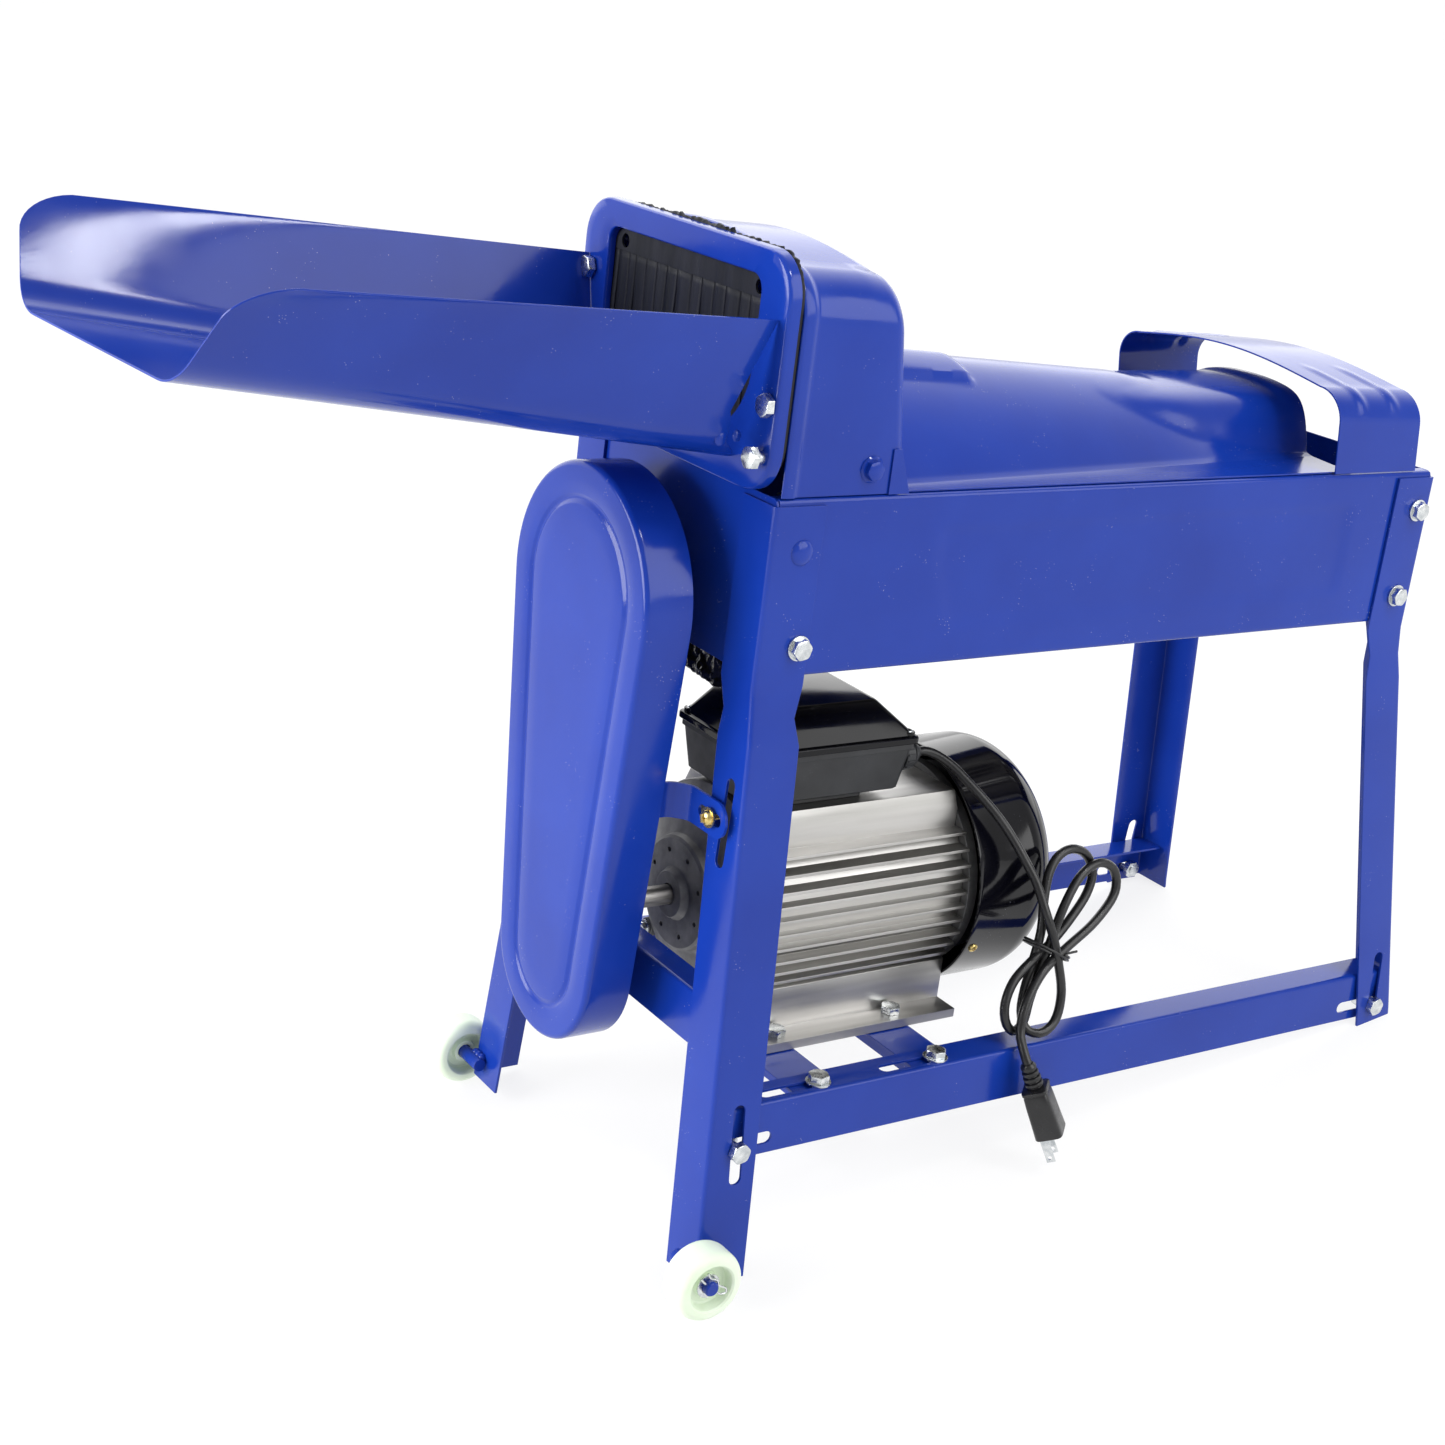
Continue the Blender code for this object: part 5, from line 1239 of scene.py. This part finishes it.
def brackets():
    """Bent, slotted straps from the belt cover to the legs, each with a plated screw."""
    for side, way in SIDES:
        path = filleted([(-0.0440, 0.0698 * way, 0), (-0.0215, 0.0698 * way, 0), (-0.0118, 0.0790 * way, 0),
                         (-0.0118, 0.1205 * way, 0)], 0.004, 5)
        dense = []
        for a, b in zip(path, path[1:]):
            pieces = max(1, int((b - a).length / 0.0012))
            dense += [a + (b - a) * i / pieces for i in range(pieces)]
        dense.append(path[-1])
        rows = []
        for point in dense:
            left = max(0.0, 0.1205 - abs(point.y))
            half = 0.012 if left > 0.012 else sqrt(max(0.0, 0.012 ** 2 - (0.012 - left) ** 2)) + 0.0002
            rows.append([(point.x, point.y, -0.2085 + half * k / 4) for k in range(-4, 5)])
        slot = (slot_shape(0.026, 0.0085, 0.02), moved(-0.0118, 0.1020 * way, -0.2085) @ CROSS_PLANE)
        obj = pierced(skin("cover_strap_" + side, rows, 0.002), [slot])
        put(eased(obj, 0.0003), "blue_paint", nodes="cover_bracket_" + side)
    screws("strap_screws", "brass_plated",
           [((-0.0140, 0.1045 * way, -0.2082), (-1, 0, 0)) for way in (-1, 1)], radius=0.0052,
           height=0.0034, washer=0.0068, shank=0.010)


drive()
v_belt()
belt_cover()
brackets()

# ---------------------------------------------------------------- motor

HOUSING_FRONT = 0.072
HOUSING_REAR = 0.2375
COWL_REAR = 0.319
COWL_RADIUS = 0.0895
GLAND_AXIS = moved(0.1912, -0.034, -0.2125) @ ALONG_X


def motor():
    refine("motor_housing", "brushed_aluminium", width=0.00025)
    back = HOUSING_FRONT - GAP
    bore = MOTOR_SHAFT + 0.0005
    bell = turned("bell_casting", [
        (0.0775, back), (0.0775, back - 0.009), (0.0768, back - 0.0105), (0.0715, back - 0.0125),
                                   (0.0690, back - 0.0150),
        (0.0640, 0.0535), (0.0610, 0.0515), (0.0440, 0.0470), (0.0415, 0.0450), (0.0405, 0.0405),
                                   (0.0385, 0.0388),
        (0.0190, 0.0385), (0.0178, 0.0375), (0.0168, 0.0345), (0.0160, 0.0335), (bore, 0.0335), (bore, 0.052),
        (0.021, 0.052), (0.021, 0.060), (0.060, 0.060), (0.060, back)], 96, 0.0005)
    holes = []
    for y, z in arc(0, 0, 0.0305, 22.5, 337.5, 8):
        hole = bmesh.new()
        add_rod(hole, 0.0017, -0.003, 0.003, moved(y, z, 0.0385), 16)
        holes.append((from_bmesh("hole", hole), FLOOR))
    bell = pierced(bell, holes)
    put(eased(bell, 0.0004), "cast_aluminium", nodes="motor_end_bell", place=MOTOR_AXIS)
    shape = bmesh.new()
    bosses = arc(0, MOTOR_Z, 0.0695, 45, 315, 4)
    for y, z in bosses:
        add_rod(shape, 0.0068, back - 0.0195, back - 0.008, moved(0, y, z) @ ALONG_X, 28, 0.0072)
    put(eased(from_bmesh("bell_bosses", shape), 0.0006), "cast_aluminium")
    tie = [((back - 0.0200, y, z), (-1, 0, 0)) for y, z in bosses]
    bolts("bell_bolts", "zinc_steel", tie, radius=0.0045, height=0.0034, washer=0.0055, shank=0.004)
    start = HOUSING_REAR + GAP
    shield = turned("shield_casting", [
        (0.0770, start + 0.008), (0.0770, start), (0.0600, start), (0.0600, start + 0.005),
                                       (0.0210, start + 0.005),
        (0.0210, start), (bore, start), (bore, start + 0.012), (0.026, start + 0.012),
                                       (0.030, start + 0.008)], 96)
    put(shield, "cast_aluminium", nodes="motor_end_shield", place=MOTOR_AXIS)
    tip, tail = BELT_X - 0.013, 0.288
    rotor = turned("rotor_shaft", [(0, tail), (MOTOR_SHAFT, tail), (MOTOR_SHAFT, 0.205), (0.036, 0.205),
                                   (0.036, 0.100),
                                   (MOTOR_SHAFT, 0.100), (MOTOR_SHAFT, tip), (0, tip)], 64)
    key = bmesh.new()
    add_box(key, (0.004, 0.005, 0.050), moved(MOTOR_SHAFT, 0, -0.010))
    rotor = pierced(rotor, [(from_bmesh("key", key), FLOOR)])
    put(eased(rotor, 0.0003), "bare_steel", "motor_shaft", "motor_rotor", MOTOR_AXIS)
    put(turned("stator_stack", [(0.0634, 0.207), (0.0634, 0.098), (0.0365, 0.098), (0.0365, 0.207)], 72),
        "copper_winding",
        nodes="motor_stator", place=MOTOR_AXIS)
    fan = turned("fan_disc", [(0.070, 0.2700), (0.070, 0.2680), (MOTOR_SHAFT + GAP, 0.2680),
                              (MOTOR_SHAFT + GAP, 0.2840),
                              (0.014, 0.2840), (0.014, 0.2700)], 72)
    put(fan, "black_plastic", "motor_shaft", "cooling_fan", MOTOR_AXIS)
    shape = bmesh.new()
    for i in range(8):
        add_box(shape, (0.050, 0.0018, 0.018), turn_by(2 * pi * i / 8, "Z") @ moved(0.041, 0, 0.2785))
    put(eased(from_bmesh("fan_vanes", shape), 0.0003), "black_plastic", "motor_shaft", place=MOTOR_AXIS)


def cowl():
    """Glossy domed cowl with a rolled front edge, screws and a barred intake."""
    wall, curve, intake = 0.0012, 0.032, 0.040
    profile = [(intake, COWL_REAR - 0.0010), (intake + 0.0012, COWL_REAR)]
    profile += [(COWL_RADIUS - curve + curve * sin(a), COWL_REAR - curve + curve * cos(a))
                for a in quarter(18)]
    profile += [(COWL_RADIUS, HOUSING_REAR + 0.0040), (COWL_RADIUS + 0.0003, HOUSING_REAR + 0.0030),
                (COWL_RADIUS + 0.0003, HOUSING_REAR + 0.0005), (COWL_RADIUS - wall, HOUSING_REAR + 0.0005)]
    inside = curve - wall
    profile += [(COWL_RADIUS - curve + inside * sin(a), COWL_REAR - curve + inside * cos(a))
                for a in [radians(90 - 90 * i / 18) for i in range(19)]]
    profile += [(intake, COWL_REAR - wall)]
    put(turned("cowl_shell", profile, 128, 0.0002), "black_enamel", nodes="fan_cowl", place=MOTOR_AXIS)
    shape = bmesh.new()
    for radius in (0.012, 0.0215, 0.031):
        add_loop(shape, [[(r * cos(a), r * sin(a), COWL_REAR - 0.0008 + h) for r,
                          h in circle(radius, 0, 0.0013, 8)]
                         for a in turns(48)])
    for i in range(6):
        add_rod(shape, 0.0013, 0.004, intake + 0.001, moved(0, 0, COWL_REAR - 0.0008)
                @ turn_by(pi * i / 3, "Z") @ turn_by(pi / 2, "Y"), 10)
    add_rod(shape, 0.0060, COWL_REAR - 0.0018, COWL_REAR + 0.0002, FLOOR, 28)
    put(eased(from_bmesh("intake_grille", shape), 0.0002), "black_enamel", place=MOTOR_AXIS)
    spots = []
    for angle in (72, 162, 252, 342):
        a = radians(angle - 7)
        out = Vector((0, -cos(a), sin(a)))
        spots.append((Vector((HOUSING_REAR + 0.0095, 0, MOTOR_Z)) + out * (COWL_RADIUS - 0.0001), out))
    screws("cowl_screws", "brass_plated", spots, radius=0.0036, height=0.0020)


def box_ring(z, inset, front=0.0, rear=0.0, radius=0.005):
    """Outline of the terminal box at a height, drawn in by an inset."""
    outline = rounded_rectangle(0.055 + inset + front, 0.190 - inset - rear, -0.0515 + inset, 0.0395 - inset,
                                radius, 7)
    return [(x, y, z) for x, y in outline]


def terminal_box():
    low, rim, top = -0.2330, -0.1980, -0.1680
    outer = [box_ring(low, 0.0062, radius=0.004), box_ring(low + 0.0012, 0.0048),
             box_ring(low + 0.004, 0.0044),
             box_ring(rim - 0.0046, 0.0006), box_ring(rim - 0.0040, -0.0008), box_ring(rim, -0.0008)]
    inner = [box_ring(rim, 0.0025, radius=0.003), box_ring(low + 0.0030, 0.0065, radius=0.003)]
    put(loft("terminal_tub", outer + inner, 0.0003), "black_plastic", nodes="terminal_box")
    rim += GAP
    lid = [box_ring(rim, -0.0022), box_ring(rim + 0.0006, -0.0028), box_ring(rim + 0.0042, -0.0028),
           box_ring(rim + 0.0050, -0.0022), box_ring(rim + 0.0054, 0.0004), box_ring(rim + 0.0072, 0.0012),
           box_ring(top - 0.0016, 0.0120, 0.004, 0.014), box_ring(top - 0.0004, 0.0136, 0.004, 0.014),
           box_ring(top, 0.0156, 0.004, 0.014, 0.004)]
    put(loft("terminal_cap", lid, 0.0003), "gloss_black_plastic", nodes="terminal_lid")
    spots = [((x, y, rim + 0.0060), (0, 0, 1)) for x in (0.0592, 0.1858) for y in (-0.0473, 0.0353)]
    shape = bmesh.new()
    for (x, y, z), _ in spots:
        add_rod(shape, 0.0048, rim + 0.0045, rim + 0.0078, moved(x, y, 0), 24)
    put(eased(from_bmesh("lid_bosses", shape), 0.0004), "gloss_black_plastic")
    screws("lid_screws", "zinc_steel", [((x, y, rim + 0.0078), way) for (x, y, _), way in spots],
           radius=0.0030,
           height=0.0016, shank=0.004)
    base = [[(x, y, z) for x, y in rounded_rectangle(0.125 - h, 0.125 + h, -0.006 - w, -0.006 + w, 0.004, 6)]
            for z, h, w in ((-0.2397, 0.0375, 0.030), (-0.2360, 0.0370, 0.0295), (-0.2333, 0.0375, 0.030))]
    put(loft("terminal_foot", base), "black_plastic", nodes="terminal_pedestal")
    can = turned("capacitor_can", [(0, 0.045), (0.0120, 0.045), (0.0140, 0.0435), (0.0140, -0.0435),
                                   (0.0120, -0.045), (0, -0.045)])
    put(can, "brushed_aluminium", nodes="run_capacitor", place=moved(0.120, 0.009, -0.215) @ ALONG_X)
    ribs = [(0, 0.0172), (0.0042, 0.0172), (0.0052, 0.0160), (0.0060, 0.0130), (0.0072, 0.0125),
            (0.0092, 0.0110),
            (0.0096, 0.0095), (0.0088, 0.0088), (0.0088, 0.0080), (0.0108, 0.0074), (0.0108, 0.0006),
            (0.0102, 0.0), (0, 0.0)]
    put(turned("gland_body", ribs, 48, 0.0003), "black_plastic", nodes="cable_gland",
        place=GLAND_AXIS)
    shape = bmesh.new()
    for i in range(14):
        add_box(shape, (0.0014, 0.0016, 0.0060), turn_by(2 * pi * i / 14, "Z") @ moved(0.0108, 0, 0.0040))
    put(eased(from_bmesh("gland_grips", shape), 0.0003), "black_plastic",
        place=GLAND_AXIS)


motor()
cowl()
terminal_box()

# ---------------------------------------------------------------- wheels


WHEEL_TRACK = 0.1711
WHEEL_RADIUS = 0.025
WHEEL_REACH = -0.0905


def wheels():
    drop = WHEEL_RADIUS - DECK_HEIGHT
    x = WHEEL_REACH * cos(PITCH) - drop * sin(PITCH)
    z = WHEEL_REACH * sin(PITCH) + drop * cos(PITCH)
    half = 0.0125
    for side, way in SIDES:
        crown = [(0.019 + 0.006 * cos(a), half - 0.0075 + 0.0075 * sin(a))
                 for a in [radians(90 - 10 * i) for i in range(10)]]
        profile = [(0.0172, half), (0.0180, half)] + crown + [(r, -h) for r, h in crown[::-1]]
        profile += [(0.0172, -half), (0.0160, -half + 0.0012), (0.0148, -0.0046), (0.0135, -0.0036),
                    (0.0092, -0.0036),
                    (0.0085, -0.0046), (0.0082, -0.0072), (0.0053, -0.0072), (0.0053, 0.0066),
                    (0.0082, 0.0066),
                    (0.0085, 0.0044), (0.0092, 0.0034), (0.0135, 0.0034), (0.0148, 0.0044),
                    (0.0160, half - 0.0012)]
        turn = turn_by(-pi / 2 * way, "X")
        hub = moved(x, WHEEL_TRACK * way, z)
        put(turned("wheel_rim_" + side, profile, 96, 0.0003), "mint_nylon", side + "_wheel",
            "wheel_" + side, hub @ turn)
        start, end = 0.1390, WHEEL_TRACK + half + 0.0005
        pin = turned("axle_pin_" + side,
                     [(0, end), (0.0042, end), (0.0050, end - 0.0010), (0.0050, start), (0, start)], 40)
        put(pin, "blue_paint", nodes="wheel_axle_" + side, place=moved(x, 0, z) @ turn)
        weld = bmesh.new()
        for y, size in ((0.1440, 0.0034), (0.1485, 0.0038), (0.1530, 0.0035)):
            bmesh.ops.create_uvsphere(weld, u_segments=16, v_segments=10, radius=size,
                                      matrix=moved(x + 0.0040, y * way, z + 0.0035))
        put(eased(from_bmesh("axle_weld_" + side, weld), 0.0002), "blue_paint")
        washer = turned("axle_washer_" + side,
                        [(0.0085, 0.0010), (0.0085, 0.0), (0.0052, 0.0), (0.0052, 0.0010)], 40, 0.0002)
        put(washer, "zinc_steel", place=moved(x, (WHEEL_TRACK + 0.0068) * way, z) @ turn)
        y = (WHEEL_TRACK + 0.0102) * way
        clip = [(-0.012, 0, 0.0012), (-0.006, 0, 0.0004), (0.008, 0, 0.0002), (0.0115, 0, 0.0012),
                (0.0135, 0, 0.0034),
                (0.0115, 0, 0.0054), (0.008, 0, 0.0052), (0.004, 0, 0.0046), (0.000, 0, 0.0066),
                (-0.005, 0, 0.0050),
                (-0.010, 0, 0.0068)]
        lean = moved(x, y, z) @ turn_by(0.7 if way < 0 else -0.5, "Y")
        wire = tube("axle_clip_" + side, smooth_route(clip, 0.0008), 0.0008, 3)
        put(wire, "zinc_steel", place=lean)


wheels()

# ---------------------------------------------------------------- floor and light


def lamp(name, place, aim, size, power):
    data = bpy.data.lights.new(name, "AREA")
    data.shape = "RECTANGLE"
    data.size, data.size_y = size
    data.energy = power
    obj = bpy.data.objects.new(name, data)
    obj.location = place
    obj.rotation_euler = (Vector(aim) - Vector(place)).to_track_quat("-Z", "Y").to_euler()
    bpy.context.scene.collection.objects.link(obj)


def studio():
    shape = bmesh.new()
    bmesh.ops.create_grid(shape, x_segments=2, y_segments=2, size=30)
    floor = from_bmesh("studio_floor", shape)
    bpy.context.scene.collection.objects.link(floor)
    floor.location.z = -0.0002
    made, shader = shader_of("studio_white")
    shader.inputs["Base Color"].default_value = (0.20, 0.20, 0.20, 1)
    shader.inputs["Roughness"].default_value = 0.9
    shader.inputs["Specular IOR Level"].default_value = 0.1
    shader.inputs["Emission Color"].default_value = (1, 1, 1, 1)
    shader.inputs["Emission Strength"].default_value = 0.80
    floor.data.materials.append(made)
    world = bpy.data.worlds.new("studio")
    bpy.context.scene.world = world
    world.use_nodes = True
    nodes, links = world.node_tree.nodes, world.node_tree.links
    sky = nodes["Background"]
    place = nodes.new("ShaderNodeTexCoord")
    split = nodes.new("ShaderNodeVectorMath")
    split.operation = "DOT_PRODUCT"
    split.inputs[1].default_value = (0.55, 0.80, -0.22)
    links.new(place.outputs["Generated"], split.inputs[0])
    band = nodes.new("ShaderNodeMapRange")
    band.interpolation_type = "SMOOTHSTEP"
    band.inputs["From Min"].default_value = 0.05
    band.inputs["From Max"].default_value = 0.65
    band.inputs["To Min"].default_value = 0.55
    band.inputs["To Max"].default_value = 2.0
    links.new(split.outputs["Value"], band.inputs["Value"])
    links.new(band.outputs["Result"], sky.inputs["Strength"])
    sky.inputs["Color"].default_value = (1, 1, 1, 1)
    lamp("key_left", (-2.4, 0.6, 1.2), (0, 0, 0.4), (1.8, 1.8), 84)
    lamp("fill_right", (1.3, -2.4, 1.7), (0, 0, 0.4), (2.6, 2.4), 54)
    lamp("top_rear", (0.6, 1.6, 2.4), (0.1, 0, 0.3), (2.4, 1.2), 12)
    lamp("glint", (0.65, -1.23, 2.57), (-0.42, 0.13, 0.6), (0.42, 0.34), 12)
    bpy.context.scene.view_settings.view_transform = "Standard"


studio()
